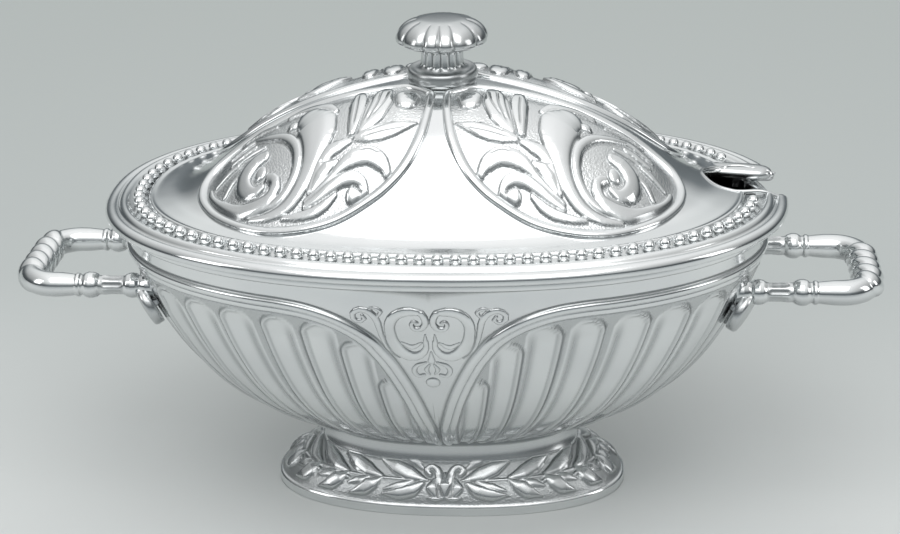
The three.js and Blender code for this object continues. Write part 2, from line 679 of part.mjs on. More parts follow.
// The handle at the +X end.
function makeHandle() {
  const centre = HANDLE_REACH - GRIP_RADIUS;
  const start = centre - BEND_RADIUS;
  let handle = handleLoop(centre, start).add(grip(centre));
  for (const { origin, axis } of padSeats(1)) {
    const root = origin.x + PAD_THICKNESS / 2;
    const arm = solid(turned([
      point(0, 0),
      ...ARM_SHARES.map(([run, out]) => point(out * BAR_RADIUS, run * (start - root))),
      point(0, start - root),
    ], BAR_SIDES));
    const back = origin.clone().addScaledVector(axis, BOSS_RISE + SEAT);
    const behind = drum(PAD_RADIUS * 2, -PAD_RADIUS * 2, 0);
    const bore = drum(SCREW_RADIUS + SCREW_PLAY, -OVERRUN, PAD_BORE);
    handle = handle
      .add(placed(arm, new THREE.Vector3(root, origin.y, HANDLE_HEIGHT), new THREE.Vector3(1, 0, 0)))
      .subtract(placed(behind, back, axis))
      .add(placed(handlePad(), back, axis))
      .subtract(placed(bore, back, axis));
  }
  return handle;
}

// A pan-head screw: underside of the head at zero, shank up the axis, driver recess below.
function screw(length) {
  const [flat, side] = HEAD_ROUND_SHARES;
  return solid(turned([
    point(0, DRIVE_DEPTH - HEAD_HEIGHT), point(DRIVE_RADIUS, DRIVE_DEPTH - HEAD_HEIGHT),
    point(DRIVE_RADIUS, -HEAD_HEIGHT), point(HEAD_RADIUS * flat, -HEAD_HEIGHT),
    point(HEAD_RADIUS, -HEAD_HEIGHT * side), point(HEAD_RADIUS, 0), point(SCREW_RADIUS, 0),
    point(SCREW_RADIUS, length), point(0, length),
  ], SMALL_SIDES));
}

function washer() {
  const blank = drum(WASHER_RADIUS, 0, WASHER_THICKNESS);
  return blank.subtract(drum(SCREW_RADIUS + SCREW_PLAY, -OVERRUN, OVERRUN));
}

// A screw and its washer against a face, with the bore that takes the screw starting at
// a distance beyond it. The axis points from the face into the metal.
function fastening(face, axis, between, bore) {
  const washerBack = face.clone().addScaledVector(axis, -SEAT - WASHER_THICKNESS);
  const head = washerBack.clone().addScaledVector(axis, -SEAT);
  const length = 2 * SEAT + WASHER_THICKNESS + between + bore - SEAT;
  return {
    screw: placed(screw(length), head, axis),
    washer: placed(washer(), washerBack, axis),
  };
}

function handleFastening({ origin, axis }) {
  const face = origin.clone().addScaledVector(axis, -BOWL_WALL - BOSS_RISE);
  return fastening(face, axis, BOWL_WALL + 2 * BOSS_RISE + SEAT, PAD_BORE);
}

function knobFastening() {
  const face = new THREE.Vector3(0, 0, LID_TOP - LID_WALL);
  return fastening(face, upward(), LID_WALL + SEAT, KNOB_BORE);
}

function footFastening(place) {
  const face = place.clone().setZ(FOOT_HEIGHT - FOOT_PLATE);
  return fastening(face, upward(), FOOT_PLATE + SEAT, FOOT_BORE);
}

function mesh(name, shape, finish) {
  const { vertProperties, triVerts } = shape.getMesh();
  const geometry = new THREE.BufferGeometry();
  geometry.setAttribute('position', new THREE.BufferAttribute(vertProperties, 3));
  geometry.setIndex(new THREE.BufferAttribute(triVerts, 1));
  geometry.computeVertexNormals();
  const piece = new THREE.Mesh(geometry, new THREE.MeshStandardMaterial(finish));
  piece.name = name;
  return piece;
}

function makeDish() {
  const dish = new THREE.Group();
  dish.name = 'tureen';
  const rightHandle = makeHandle();
  dish.add(
    mesh('foot', makeFoot(), CAST_METAL),
    mesh('bowl', makeBowl(), CAST_METAL),
    mesh('handle_right', rightHandle, CAST_METAL),
    mesh('handle_left', moved(rightHandle, new THREE.Matrix4().makeRotationZ(Math.PI)), CAST_METAL),
    mesh('lid', makeLid(), CAST_METAL),
    mesh('knob', makeKnob(), CAST_METAL),
  );
  const places = {
    handle_right_front: handleFastening(padSeat(1, -1)),
    handle_right_back: handleFastening(padSeat(1, 1)),
    handle_left_front: handleFastening(padSeat(-1, -1)),
    handle_left_back: handleFastening(padSeat(-1, 1)),
    foot_left: footFastening(footScrewPlaces()[0]),
    foot_right: footFastening(footScrewPlaces()[1]),
    knob: knobFastening(),
  };
  for (const [place, fasteners] of Object.entries(places)) {
    dish.add(mesh(`${place}_screw`, fasteners.screw, STEEL));
    dish.add(mesh(`${place}_washer`, fasteners.washer, SEAL));
  }
  return dish;
}

export default makeDish();
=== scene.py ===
# %% [markdown]
# An oval covered serving dish in polished cast aluminium: a fluted bowl on a flared foot,
# two loop handles, and a domed lid with four scrolled panels, a row of beads and a knob.
# The CAD model gives every piece its place. Here each casting gets the relief that the
# CAD leaves out, a finish, light and a camera.

# %% Load the frame
import math
import bmesh
import bpy
import numpy as np
from mathutils import Matrix, Vector


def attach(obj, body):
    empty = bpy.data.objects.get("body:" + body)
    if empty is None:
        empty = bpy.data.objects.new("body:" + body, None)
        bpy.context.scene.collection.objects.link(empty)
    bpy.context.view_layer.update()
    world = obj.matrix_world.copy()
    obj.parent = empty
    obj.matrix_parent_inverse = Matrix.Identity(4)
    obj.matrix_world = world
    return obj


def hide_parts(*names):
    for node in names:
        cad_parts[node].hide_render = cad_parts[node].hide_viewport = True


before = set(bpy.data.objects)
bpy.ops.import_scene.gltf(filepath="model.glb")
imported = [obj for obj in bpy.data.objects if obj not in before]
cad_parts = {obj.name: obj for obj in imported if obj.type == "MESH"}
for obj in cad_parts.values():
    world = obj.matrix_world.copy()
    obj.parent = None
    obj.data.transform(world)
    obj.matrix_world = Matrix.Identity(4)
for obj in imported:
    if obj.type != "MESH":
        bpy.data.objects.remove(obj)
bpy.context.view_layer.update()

# %% [markdown]
# The camera stands about a metre away and looks down a little, so the lid and the front
# of the bowl both show. It is placed by the point of the dish's upright axis at the height
# of the bead row, and by the pixel where that point shows, which needs no lens shift.

# %% Camera
IMAGE_WIDTH, IMAGE_HEIGHT = 900, 534
LENS_PIXELS = 2100
CAMERA_DISTANCE = 1.0
ELEVATION, AZIMUTH, ROLL = 19.9, 5.0, 1.3
AIM = Vector((0, 0, 0.1525))
AIM_PIXEL = (445.2, 187.0)


def camera_matrix():
    """Where the camera stands, and the way it is turned, as one matrix."""
    up_angle, round_angle, roll = (math.radians(v) for v in (ELEVATION, AZIMUTH, ROLL))
    back = Vector((math.sin(round_angle) * math.cos(up_angle),
                   -math.cos(round_angle) * math.cos(up_angle), math.sin(up_angle)))
    level = (-back).cross(Vector((0, 0, 1))).normalized()
    upright = level.cross(-back)
    right = math.cos(roll) * level - math.sin(roll) * upright
    up = math.cos(roll) * upright + math.sin(roll) * level
    towards = Vector(((AIM_PIXEL[0] - IMAGE_WIDTH / 2) / LENS_PIXELS,
                      (IMAGE_HEIGHT / 2 - AIM_PIXEL[1]) / LENS_PIXELS, 1)).normalized()
    turn = Vector((0, 0, 1)).rotation_difference(towards).to_matrix()
    right, up, forward = turn @ Matrix((right, up, -back))
    matrix = Matrix((right, up, -forward)).transposed().to_4x4()
    matrix.translation = AIM + CAMERA_DISTANCE * back
    return matrix


def in_scene(name, data):
    """A new object of that name, put in the scene."""
    made = bpy.data.objects.new(name, data)
    bpy.context.scene.collection.objects.link(made)
    return made


camera = in_scene("camera", bpy.data.cameras.new("camera"))
camera.data.sensor_width = 36
camera.data.lens = LENS_PIXELS / IMAGE_WIDTH * camera.data.sensor_width
camera.matrix_world = camera_matrix()
bpy.context.scene.camera = camera
print("lens", round(camera.data.lens, 1), "mm")

# %% [markdown]
# Every finish is a small node tree. One function turns the hex colour that a paint chart
# gives into the linear numbers that Blender's shaders work with, and one adds a node with
# its settings and links. Distances inside a pattern are worked out from millimetres.

# %% Node helpers
def linear(hex_colour):
    """Linear colour with alpha from an sRGB hex value such as #c3c7ca."""
    values = [int(hex_colour[i:i + 2], 16) / 255 for i in (1, 3, 5)]
    return [v / 12.92 if v <= 0.04045 else ((v + 0.055) / 1.055) ** 2.4 for v in values] + [1]


def add(tree, kind, settings=None, **sockets):
    """A node with its own settings. A socket takes a value or another node's output, and is
    given by its name, or by its number as in _0 where several sockets share one name."""
    node = tree.nodes.new("ShaderNode" + kind)
    for key, value in (settings or {}).items():
        setattr(node, key, value)
    for key, value in sockets.items():
        socket = node.inputs[int(key[1:]) if key[0] == "_" else key.replace("_", " ")]
        if isinstance(value, bpy.types.NodeSocket):
            tree.links.new(value, socket)
        else:
            socket.default_value = value
    return node


def new_material(name):
    material = bpy.data.materials.new(name)
    material.use_nodes = True
    material.node_tree.nodes.clear()
    return material, material.node_tree


def ramp(tree, factor, *stops):
    """A colour ramp through (position, hex colour) stops."""
    node = add(tree, "ValToRGB", Fac=factor)
    elements = node.color_ramp.elements
    while len(elements) < len(stops):
        elements.new(0.5)
    for element, (position, colour) in zip(elements, stops):
        element.position = position
        element.color = linear(colour)
    return node.outputs["Color"]


def surface(tree, **sockets):
    """Ends a material with one surface shader, set by its sockets."""
    shader = add(tree, "BsdfPrincipled", **sockets)
    add(tree, "OutputMaterial", Surface=shader.outputs[0])


MM = 0.001


def per_mm(size):
    """Scale of a pattern, on coordinates in metres, whose grain is size millimetres."""
    return 1 / (size * MM)


# %% [markdown]
# Cast aluminium that was polished by hand is bright on every high place, and keeps its
# dull grey casting skin where the polishing wheel didn't reach. Each relief below writes
# how deep a point lies into the attribute "hollow", along with painted shade in creases,
# under the handle bars and on some slopes, and where the mould had a stippled ground into
# "stipple". The finish reads both: a hollow is darker and rougher, which is partly the
# dull skin and partly painted shade.

# %% Polished cast aluminium
def polished_cast_aluminium():
    material, tree = new_material("polished_cast_aluminium")
    place = add(tree, "TexCoord").outputs["Object"]
    hollow = add(tree, "Attribute", {"attribute_name": "hollow"}).outputs["Fac"]
    stipple = add(tree, "Attribute", {"attribute_name": "stipple"}).outputs["Fac"]
    cloud = add(tree, "TexNoise", Vector=place, Scale=per_mm(38), Detail=2.0).outputs["Fac"]
    wave = add(tree, "TexNoise", Vector=place, Scale=per_mm(16), Detail=1.0).outputs["Fac"]
    grain = add(tree, "TexNoise", Vector=place, Scale=per_mm(0.9), Detail=2.0).outputs["Fac"]
    clean = ramp(tree, cloud, (0.3, "#e2e4e5"), (0.7, "#ebeded"))
    # The darker tone where "hollow" is high is partly dull casting skin and partly painted shade.
    tone = add(tree, "Mix", {"data_type": "RGBA"}, Factor=hollow, _6=clean,
               _7=linear("#8b8f90")).outputs[2]
    matt = add(tree, "MapRange", _0=hollow, _3=0.13, _4=0.42).outputs[0]
    rough = add(tree, "MapRange", _0=cloud, _1=0.3, _2=0.7, _3=-0.02, _4=0.03).outputs[0]
    both = add(tree, "Math", {"operation": "ADD"}, _0=matt, _1=rough).outputs[0]
    dots = add(tree, "Math", {"operation": "MULTIPLY"}, _0=grain, _1=stipple).outputs[0]
    soft = add(tree, "Bump", Height=wave, Strength=0.12, Distance=0.6 * MM).outputs[0]
    bumpy = add(tree, "Bump", Height=dots, Strength=0.55, Distance=0.5 * MM,
                Normal=soft).outputs[0]
    surface(tree, Base_Color=tone, Metallic=1.0, Roughness=both, Normal=bumpy)
    return material


aluminium = polished_cast_aluminium()
print("finish:", aluminium.name)

# %% [markdown]
# The screws are turned from stainless steel, and the washers under their heads are a white
# sealing plastic. Both are hidden when the dish stands, but they show from below or with
# the lid off, so they get a finish of their own on the CAD's shapes.

# %% Fasteners
def turned_stainless_steel():
    material, tree = new_material("turned_stainless_steel")
    place = add(tree, "TexCoord").outputs["Object"]
    lines = add(tree, "TexNoise", Vector=place, Scale=per_mm(0.4), Detail=1.0).outputs["Fac"]
    rough = add(tree, "MapRange", _0=lines, _3=0.22, _4=0.36).outputs[0]
    tone = ramp(tree, lines, (0.3, "#b9bcbf"), (0.7, "#c6c9cb"))
    surface(tree, Base_Color=tone, Metallic=1.0, Roughness=rough)
    return material


def nylon_seal():
    material, tree = new_material("nylon_seal")
    place = add(tree, "TexCoord").outputs["Object"]
    mottle = add(tree, "TexNoise", Vector=place, Scale=per_mm(2), Detail=2.0).outputs["Fac"]
    tone = ramp(tree, mottle, (0.3, "#d6d6cf"), (0.7, "#e3e3dd"))
    surface(tree, Base_Color=tone, Roughness=0.55)
    return material


steel, seal = turned_stainless_steel(), nylon_seal()
for name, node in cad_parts.items():
    finish = steel if name.endswith("_screw") else seal if name.endswith("_washer") else aluminium
    node.data.materials.clear()
    node.data.materials.append(finish)
print("fasteners finished:", sum(n.endswith(("_screw", "_washer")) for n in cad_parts))

# %% [markdown]
# The plan of the bowl and the lid is a superellipse, fuller than an ellipse. Sizes here are
# the CAD's, in millimetres. A piece is first spun as a round shape, where radius, angle
# and height are simple, and then pulled out to the oval: a radius becomes the longer half
# axis, and an angle becomes an even share of the way round the rim.

# %% The oval plan
RIM_LONG, RIM_SHORT, OVAL_POWER = 145.6, 92.5, 2.23
ROUND_LONG = 40.0


def smooth(value, low, high):
    """Rises softly from 0 at low to 1 at high."""
    t = np.clip((value - low) / (high - low), 0, 1)
    return t * t * (3 - 2 * t)


def between(value, rise, fall):
    """1 between two soft edges, each given as the places where it starts and ends."""
    return smooth(value, *rise) * (1 - smooth(value, *fall))


def power(value, exponent):
    return np.sign(value) * np.abs(value) ** exponent


def on_oval(long, short, angle):
    """Plan position at an angle counted from the front towards +X."""
    exponent = 2 / OVAL_POWER
    return long * power(np.sin(angle), exponent), -short * power(np.cos(angle), exponent)


def oval_short(long):
    return np.where(long < RIM_LONG, long * RIM_SHORT / RIM_LONG, long - RIM_LONG + RIM_SHORT)


def rim_reach(x, y):
    """Half length of the oval, shaped like the rim, through a place in plan."""
    return (np.abs(x / RIM_LONG) ** OVAL_POWER
            + np.abs(y / RIM_SHORT) ** OVAL_POWER) ** (1 / OVAL_POWER) * RIM_LONG


def dome_short(long):
    roundness = np.exp(-(long / ROUND_LONG) ** 2)
    return oval_short(long) * (1 - roundness) + long * roundness


def lengths_along(points):
    """Length along a line up to each of its points."""
    return np.concatenate([[0], np.cumsum(np.linalg.norm(np.diff(points, axis=0), axis=1))])


rim_angles = np.linspace(0, np.pi / 2, 401)
rim_lengths = lengths_along(np.column_stack(on_oval(RIM_LONG, RIM_SHORT, rim_angles)))
QUARTER = rim_lengths[-1]


def even_angle(share):
    """Angle parameter at a share of the way round the rim, from the front."""
    quarter = np.floor(share * 4)
    within = share * 4 - quarter
    odd = quarter % 2 == 1
    angle = np.interp(np.where(odd, 1 - within, within) * QUARTER, rim_lengths, rim_angles)
    return quarter * np.pi / 2 + np.where(odd, np.pi / 2 - angle, angle)


print("a quarter of the rim is", round(QUARTER, 1), "mm long")

# %% [markdown]
# Most pieces start as a profile: a few points that a smooth curve runs through. Spinning
# the profile about the upright axis is how a turner or a mould maker would think of it.
# The spin keeps each point's row number as an attribute, so a relief can be set up later
# by row and by place round the rim. A spin slows down with its steps, so only an eighth of
# a turn is spun, and copied and turned three times.

# %% Profiles
def smooth_line(points, count):
    """count points, evenly spaced, on a smooth curve through the given ones."""
    points = np.asarray(points, float)
    t = lengths_along(points)
    slopes = np.gradient(points, t, axis=0)
    u = np.linspace(0, t[-1], count)
    i = np.clip(np.searchsorted(t, u, side="right") - 1, 0, len(t) - 2)
    step = (t[i + 1] - t[i])[:, None]
    s = ((u - t[i]) / (t[i + 1] - t[i]))[:, None]
    return ((2 * s ** 3 - 3 * s ** 2 + 1) * points[i] + (s ** 3 - 2 * s ** 2 + s) * step * slopes[i]
            + (3 * s ** 2 - 2 * s ** 3) * points[i + 1] + (s ** 3 - s ** 2) * step * slopes[i + 1])


def finished(bm, name):
    """The bmesh as a mesh of that name. The bmesh itself is let go."""
    mesh = bpy.data.meshes.new(name)
    bm.to_mesh(mesh)
    bm.free()
    return mesh


# %% Spinning
def spun(profile, columns):
    """A mesh of the profile spun about Z, with each point's row and share of the turn."""
    bm = bmesh.new()
    row_layer = bm.verts.layers.float.new("row")
    points = [bm.verts.new((0, -radius, height)) for radius, height in profile]
    for row, vert in enumerate(points):
        vert[row_layer] = row
    edges = [bm.edges.new(pair) for pair in zip(points, points[1:])]
    bmesh.ops.spin(bm, geom=points + edges, cent=(0, 0, 0), axis=(0, 0, 1),
                   angle=math.pi / 4, steps=columns // 8)
    for eighths in (1, 2, 4):
        copy = bmesh.ops.duplicate(bm, geom=bm.verts[:] + bm.edges[:] + bm.faces[:])["geom"]
        bmesh.ops.rotate(bm, verts=[v for v in copy if isinstance(v, bmesh.types.BMVert)],
                         cent=(0, 0, 0), matrix=Matrix.Rotation(eighths * math.pi / 4, 3, "Z"))
    bmesh.ops.remove_doubles(bm, verts=bm.verts[:], dist=2e-3)
    bmesh.ops.recalc_face_normals(bm, faces=bm.faces[:])
    mesh = finished(bm, "spun")
    rows = np.empty(len(mesh.vertices), np.float32)
    mesh.attributes["row"].data.foreach_get("value", rows)
    mesh.attributes.remove(mesh.attributes["row"])
    where = coordinates(mesh)
    shares = np.arctan2(where[:, 0], -where[:, 1]) / (2 * np.pi) % 1
    return mesh, rows.round().astype(int), shares


def coordinates(mesh):
    flat = np.empty(len(mesh.vertices) * 3)
    mesh.vertices.foreach_get("co", flat)
    return flat.reshape(-1, 3)


def set_coordinates(mesh, x, y, z):
    mesh.vertices.foreach_set("co", (np.stack([x, y, z], 1) * MM).ravel())
    mesh.update()


def outward(profile):
    """The direction square to the profile at each of its points, away from the metal."""
    along = np.gradient(np.asarray(profile, float), axis=0)
    along /= np.maximum(np.linalg.norm(along, axis=1), 1e-9)[:, None]
    return np.stack([along[:, 1], -along[:, 0]], 1)


def piece(name, mesh, body, slot, replaced=(), **marks):
    """Names a finished mesh as one piece of the dish, and puts it on its CAD body."""
    for mark, values in marks.items():
        attribute = mesh.attributes.new(mark, "FLOAT", "POINT")
        attribute.data.foreach_set("value", np.clip(values, 0, 1).astype(np.float32))
    mesh.name = name
    mesh.materials.append(aluminium)
    mesh.polygons.foreach_set("use_smooth", np.ones(len(mesh.polygons), bool))
    made = in_scene(name, mesh)
    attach(made, body)
    if replaced:
        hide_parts(*replaced)
    print(name, len(mesh.polygons), "faces")
    return made


# %% [markdown]
# Relief is laid out with strokes on a flat chart of the surface, in millimetres, the way a
# carver draws leaves and scrolls before cutting. Each stroke is a curve with half widths
# along it and a height, and is pillow-shaped across, with steep sides. Where two meet, the
# higher one wins. A stroke also notes its outline as painted shade for the finish, in the
# crease at the foot of a leaf, where shade falls and polishing never reaches.

# %% Strokes
def near(x, y, line):
    """Distance of each chart point from a line, and how far along the line it is, 0 to 1."""
    best, along = np.full(x.shape, 1e9), np.zeros(x.shape)
    lengths = lengths_along(line)
    for (ax, ay), (bx, by), start, end in zip(line, line[1:], lengths, lengths[1:]):
        t = ((x - ax) * (bx - ax) + (y - ay) * (by - ay)) / max((end - start) ** 2, 1e-12)
        t = np.clip(t, 0, 1)
        distance = np.hypot(x - ax - t * (bx - ax), y - ay - t * (by - ay))
        closer = distance < best
        best[closer] = distance[closer]
        along[closer] = (start + t[closer] * (end - start)) / lengths[-1]
    return best, along


def new_chart(x, y):
    return {"x": x, "y": y, "height": np.zeros(x.shape), "shade": np.zeros(x.shape)}


def beside(chart, points, reach, steps=24):
    """The chart points within reach of a smooth line, and where they lie along it."""
    line = smooth_line(points, steps) if len(points) > 2 else np.asarray(points, float)
    low, high = line.min(0) - reach, line.max(0) + reach
    x, y = chart["x"], chart["y"]
    inside = np.flatnonzero((x > low[0]) & (x < high[0]) & (y > low[1]) & (y < high[1]))
    distance, along = near(x[inside], y[inside], line)
    return inside, distance, along


def stroke(chart, points, widths, height, outline=0.45):
    """Raises a pillow along the points. The narrower it gets, the lower it lies."""
    inside, distance, along = beside(chart, points, np.max(widths) + 2)
    width = np.maximum(np.interp(along, np.linspace(0, 1, len(widths)), widths), 1e-3)
    top = height * np.sqrt(width / np.max(widths))
    ridge = top * np.sqrt(np.clip(1 - (distance / width) ** 2.8, 0, 1))
    before = chart["height"][inside]
    edge = np.exp(-((distance - width) / outline) ** 2) * (before < 0.8 * top)
    shade = np.where(ridge > before, 0, chart["shade"][inside])
    chart["height"][inside] = np.maximum(before, ridge)
    chart["shade"][inside] = np.maximum(shade, edge)


def groove(chart, points, width, depth):
    """Cuts a soft line of that half width and depth, which fades out at both ends."""
    inside, distance, along = beside(chart, points, 3 * width)
    ends = between(along, (0, 0.12), (0.88, 1))
    cut = (0.25 + 0.75 * ends) * np.exp(-(distance / width) ** 2)
    chart["height"][inside] -= depth * cut
    chart["shade"][inside] = np.maximum(chart["shade"][inside], 0.8 * cut)


# %% [markdown]
# The foot is one hollow casting: a plain band at the table, a domed skirt with laurel
# leaves in low relief, and a smooth neck. The band is seen edge on, so it needs a true
# corner, and the leaves need enough columns to keep their tips. A quarter of the way round
# the foot is about a quarter longer than its half length, which sets the chart's scale.

# %% Foot
FOOT_SHORT_SHARE, SKIRT_START, INSIDE_ROWS = 0.53, 13, 8
SKIRT_LOW, SKIRT_HIGH, GROUND_DEPTH, NECK_SHADOW = (1.2, 2.4), (29, 31), 0.7, (30.4, 31.6)
FOOT_OUTSIDE = [(86.5, 4.3), (84.9, 6.2), (83, 8.7), (80.3, 11.4), (77, 13.9), (73.5, 15.9),
                (70, 17.9), (66.6, 20.3), (63.6, 23), (61.6, 26.2), (60.5, 30), (60, 34.7)]
FOOT_COLUMNS = 840
QUARTER_SHARE = 100.2 / 80
LEAF_FULLNESS = 1.3
STEM, UPPER_STRETCH = 17, 1.35
SPRAY_PLACES = (30, 47, 64, 81)
SKIRT_LEAVES = [
    ([(0, 21), (0, 13), (0, 6.6)], [0.8, 2.5, 0.6], 1.9),
    ([(4.8, 17.5), (5.8, 12), (4.2, 6.4)], [1, 2.2, 0.8], 1.7),
    ([(1.2, 5.8), (4.4, 5), (7.4, 6.2)], [0.8, 1, 0.6], 1.2),
    ([(2.4, 15), (2.7, 19), (3.6, 22.6), (6, 24.2), (8.2, 22.6), (7, 20.6)],
     [1, 1.3, 1.4, 1.4, 1.3, 1.1], 1.8),
    ([(11, 15), (16, 9.8), (22, 7.4), (29, 7)], [1.5, 3, 2.7, 0.5], 1.9),
    ([(15, 17.2), (21, 12.8), (28, 10)], [1.2, 2.2, 0.6], 1.2),
    ([(10, 18), (16, 20.6), (22, 23), (29, 26)], [1.2, 3, 2.8, 0.6], 1.9),
    ([(10.5, 24), (15, 27.5), (20, 30.5)], [0.8, 1.8, 0.5], 1.1),
]
SPRAY_LEAVES = [
    ([(0, 17), (5, 12), (9, 7.8), (15, 5)], [1, 2.8, 2.6, 0.5], 1.9),
    ([(6, 17), (11, 13.6), (16, 11)], [0.9, 2, 0.6], 1.2),
    ([(0, 18.5), (6, 20.6), (12, 23.4), (18, 26)], [1, 2.8, 2.8, 0.6], 1.9),
    ([(6, 19), (11, 20.4), (16.5, 23)], [0.9, 1.8, 0.5], 1.2),
    ([(17, 14.4), (17.2, 14.6)], [1.2, 1.2], 1.2),
]


def foot_profile():
    skirt = smooth_line(FOOT_OUTSIDE, 96)
    band = [(83.6, 0), (85.9, 0), (86.5, 0.5), (86.5, 2.4), (86.5, 4.0)]
    inside = [(0, 30.7), (56.4, 30.7), (57.6, 26), (60.5, 20.5), (67, 16), (74, 12.4),
              (79.5, 8.5), (82.6, 4.5)]
    return np.array(inside + band + list(skirt) + [(0, 34.7)])


def laurel(x, y):
    """The skirt: a flower at the middle, and sprays of laurel from it to both tips."""
    chart = new_chart(x, np.where(y > STEM, STEM + (y - STEM) / UPPER_STRETCH, y))
    for points, widths, height in SKIRT_LEAVES:
        stroke(chart, points, np.multiply(widths, LEAF_FULLNESS), height)
    stroke(chart, [(8, 17.6), (60, 17.4), (100, 17)], [0.8, 0.8], 0.8)
    for base in SPRAY_PLACES:
        for points, widths, height in SPRAY_LEAVES:
            stroke(chart, [(base + along, up) for along, up in points],
                   np.multiply(widths, LEAF_FULLNESS), height)
    return chart["height"], chart["shade"]


# %% Foot: spin and relief
profile = foot_profile()
mesh, rows, shares = spun(profile, FOOT_COLUMNS)
up = lengths_along(profile)
up_skirt = np.where(rows >= SKIRT_START, up[rows] - up[SKIRT_START], -9)
quarter_share = np.abs((shares * 2 + 0.5) % 1 - 0.5) * 2
relief, shade = laurel(quarter_share * QUARTER_SHARE * profile[rows, 0], up_skirt)
on_skirt = between(up_skirt, SKIRT_LOW, SKIRT_HIGH)
relief = on_skirt * (relief - GROUND_DEPTH)
normal = outward(profile)[rows]
long = profile[rows, 0] + normal[:, 0] * relief
x, y = on_oval(long, long * FOOT_SHORT_SHARE, even_angle(shares))
set_coordinates(mesh, x, y, np.maximum(profile[rows, 1] + normal[:, 1] * relief, 0))
ground = on_skirt * (1 - smooth(relief, -0.6, 0.1))
# Painted shadow: the neck is darkened towards its top, where the bowl's edge shades it.
neck = 0.4 * smooth(up_skirt, 26, 30) + 0.6 * smooth(profile[rows, 1], *NECK_SHADOW)
inside = rows < INSIDE_ROWS
piece("foot_casting", mesh, "base", "cast_metal", ["foot"],
      hollow=np.where(inside, 0.5, np.maximum.reduce([0.6 * ground, 0.9 * shade * on_skirt,
                                                      0.42 * on_skirt, neck])),
      stipple=np.where(inside, 0.5, ground))

# %% [markdown]
# The bowl's wall carries broad flutes under a raised rib, which sweeps up from a V at the
# middle of each long side. In the chart, x runs along the wall from the front's middle and
# y up the wall, both in real millimetres, so the rib keeps its width as it climbs.

# %% Bowl: wall and chart
CHART_LONG = 150.0
BOWL_WALL = [(57, 35), (79.3, 43.3), (97, 52.6), (112.5, 63.9), (125.1, 77.2), (136.3, 94),
             (145.6, 112.7), (151.1, 128.7), (152.5, 140.2)]
RIB_EDGE = [(0.3, 0), (0.6, 35), (0.8, 45), (1.4, 55), (2.5, 63), (4, 72), (5.5, 80), (7.5, 88),
            (10, 96), (13, 104), (16, 111), (20, 118), (24, 124), (30, 130), (38, 135.6),
            (46, 139.2), (55, 141.6), (65, 142.7), (80, 143), (120, 143.3), (205, 143)]
FLUTES = [(20.2, 5.2, 97), (34.3, 5.4, 120), (50.1, 6.4, 130.5), (69.2, 6.2, 132),
          (89.8, 7, 132.5), (110, 7.4, 132.5), (131.5, 7.7, 132.5), (152, 7.7, 132.5),
          (172.5, 7.7, 132.5), (193, 7.7, 132.5)]

wall_rows = smooth_line(BOWL_WALL, 240)
wall_up = lengths_along(wall_rows)
wall_out = outward(wall_rows)
rib_edge = smooth_line(RIB_EDGE, 120)


def on_wall(up, values):
    """A value of the wall's profile at a length up the wall."""
    return np.interp(up, wall_up, values)


def below_rib(x, y):
    """Distance below the rib's upper edge, and less than nothing above it."""
    distance, _ = near(x, y, rib_edge)
    return np.where(y < np.interp(x, rib_edge[:, 0], rib_edge[:, 1]), distance, -distance)


print("the wall is", round(wall_up[-1], 1), "mm from base to lip")

# %% [markdown]
# An even grid would blur the rib, which crosses it at a slant. So the grid follows the
# design: columns crowd together at the V and beside each flute, and a band of close rows
# climbs with the rib. The mesh is still one plain spin, only the places of its points are
# looked up in these two tables.

# %% Bowl: columns and rows
BOWL_COLUMNS, UNDER_ROWS, BAND_ROWS, OVER_ROWS = 800, 56, 28, 18
LOWEST_BAND = 40.0
RIB_WIDTH, BAND_BELOW, BAND_ABOVE = 7.6, 8.6, 1.2


def column_places():
    """Places along a quarter of the rim, closer at the V and beside the flutes."""
    rim = np.linspace(0, QUARTER, 4001)
    crowd = 1 + 3 * np.exp(-rim / 14)
    for centre, half, _ in FLUTES:
        crowd += 1.6 * np.exp(-((np.abs(rim - centre) - half - 1) / 1.3) ** 2)
    filled = np.concatenate([[0], np.cumsum(crowd[1:])])
    return np.interp(np.linspace(0, filled[-1], BOWL_COLUMNS // 4 + 1), filled, rim)


def row_lengths(places):
    """For each column, the lengths up the wall at which it has its rows."""
    probe = np.linspace(0, wall_up[-1], 1200)
    edge = np.interp(places[:, None] * on_wall(probe, wall_rows[:, 0]) / CHART_LONG,
                     rib_edge[:, 0], rib_edge[:, 1])
    crossing = np.array([np.interp(0, probe - row, probe) for row in edge])
    crossing = np.maximum(crossing, LOWEST_BAND)
    along = places * on_wall(crossing, wall_rows[:, 0]) / CHART_LONG
    steep = np.hypot(1, np.gradient(crossing) / np.maximum(np.gradient(along), 1e-6))
    low = crossing - np.minimum(BAND_BELOW * steep, 0.5 * crossing)
    high = crossing + np.minimum(BAND_ABOVE * steep, 0.3 * (wall_up[-1] - crossing))
    low, high = np.maximum(low, 2), np.maximum(high, 5)
    under = 1 - (1 - np.linspace(0, 1, UNDER_ROWS)) ** 1.35
    band, over = np.linspace(0, 1, BAND_ROWS)[1:], np.linspace(0, 1, OVER_ROWS)[1:]
    return np.hstack([low[:, None] * under, low[:, None] + (high - low)[:, None] * band,
                      high[:, None] + (wall_up[-1] - high)[:, None] * over])


places = column_places()
lengths_up = row_lengths(places)
print("rows up the wall:", lengths_up.shape[1])

# %% [markdown]
# Each flute is a hollow with a round head. It is deepest and has its sharpest edge on the
# side away from the middle, where a narrow ridge and a fine dark line run beside it. It
# rises softly on the other side, which is painted darker there as shade. The rib has a
# round part, a flat moulding under it, and a fine line on each side.

# %% Bowl: flutes and rib
ROUND_MIDDLE, ROUND_HALF, ROUND_RISE = 2, 2, 1.7
FLAT_MIDDLE, FLAT_HALF, FLAT_RISE = 5.4, 1.7, 0.9
FLUTE_EDGE, LINE_DEPTH = 0.95, 0.3


def bump(value, middle, half):
    """A soft bump of height 1 round the middle."""
    return np.exp(-((value - middle) / half) ** 2)


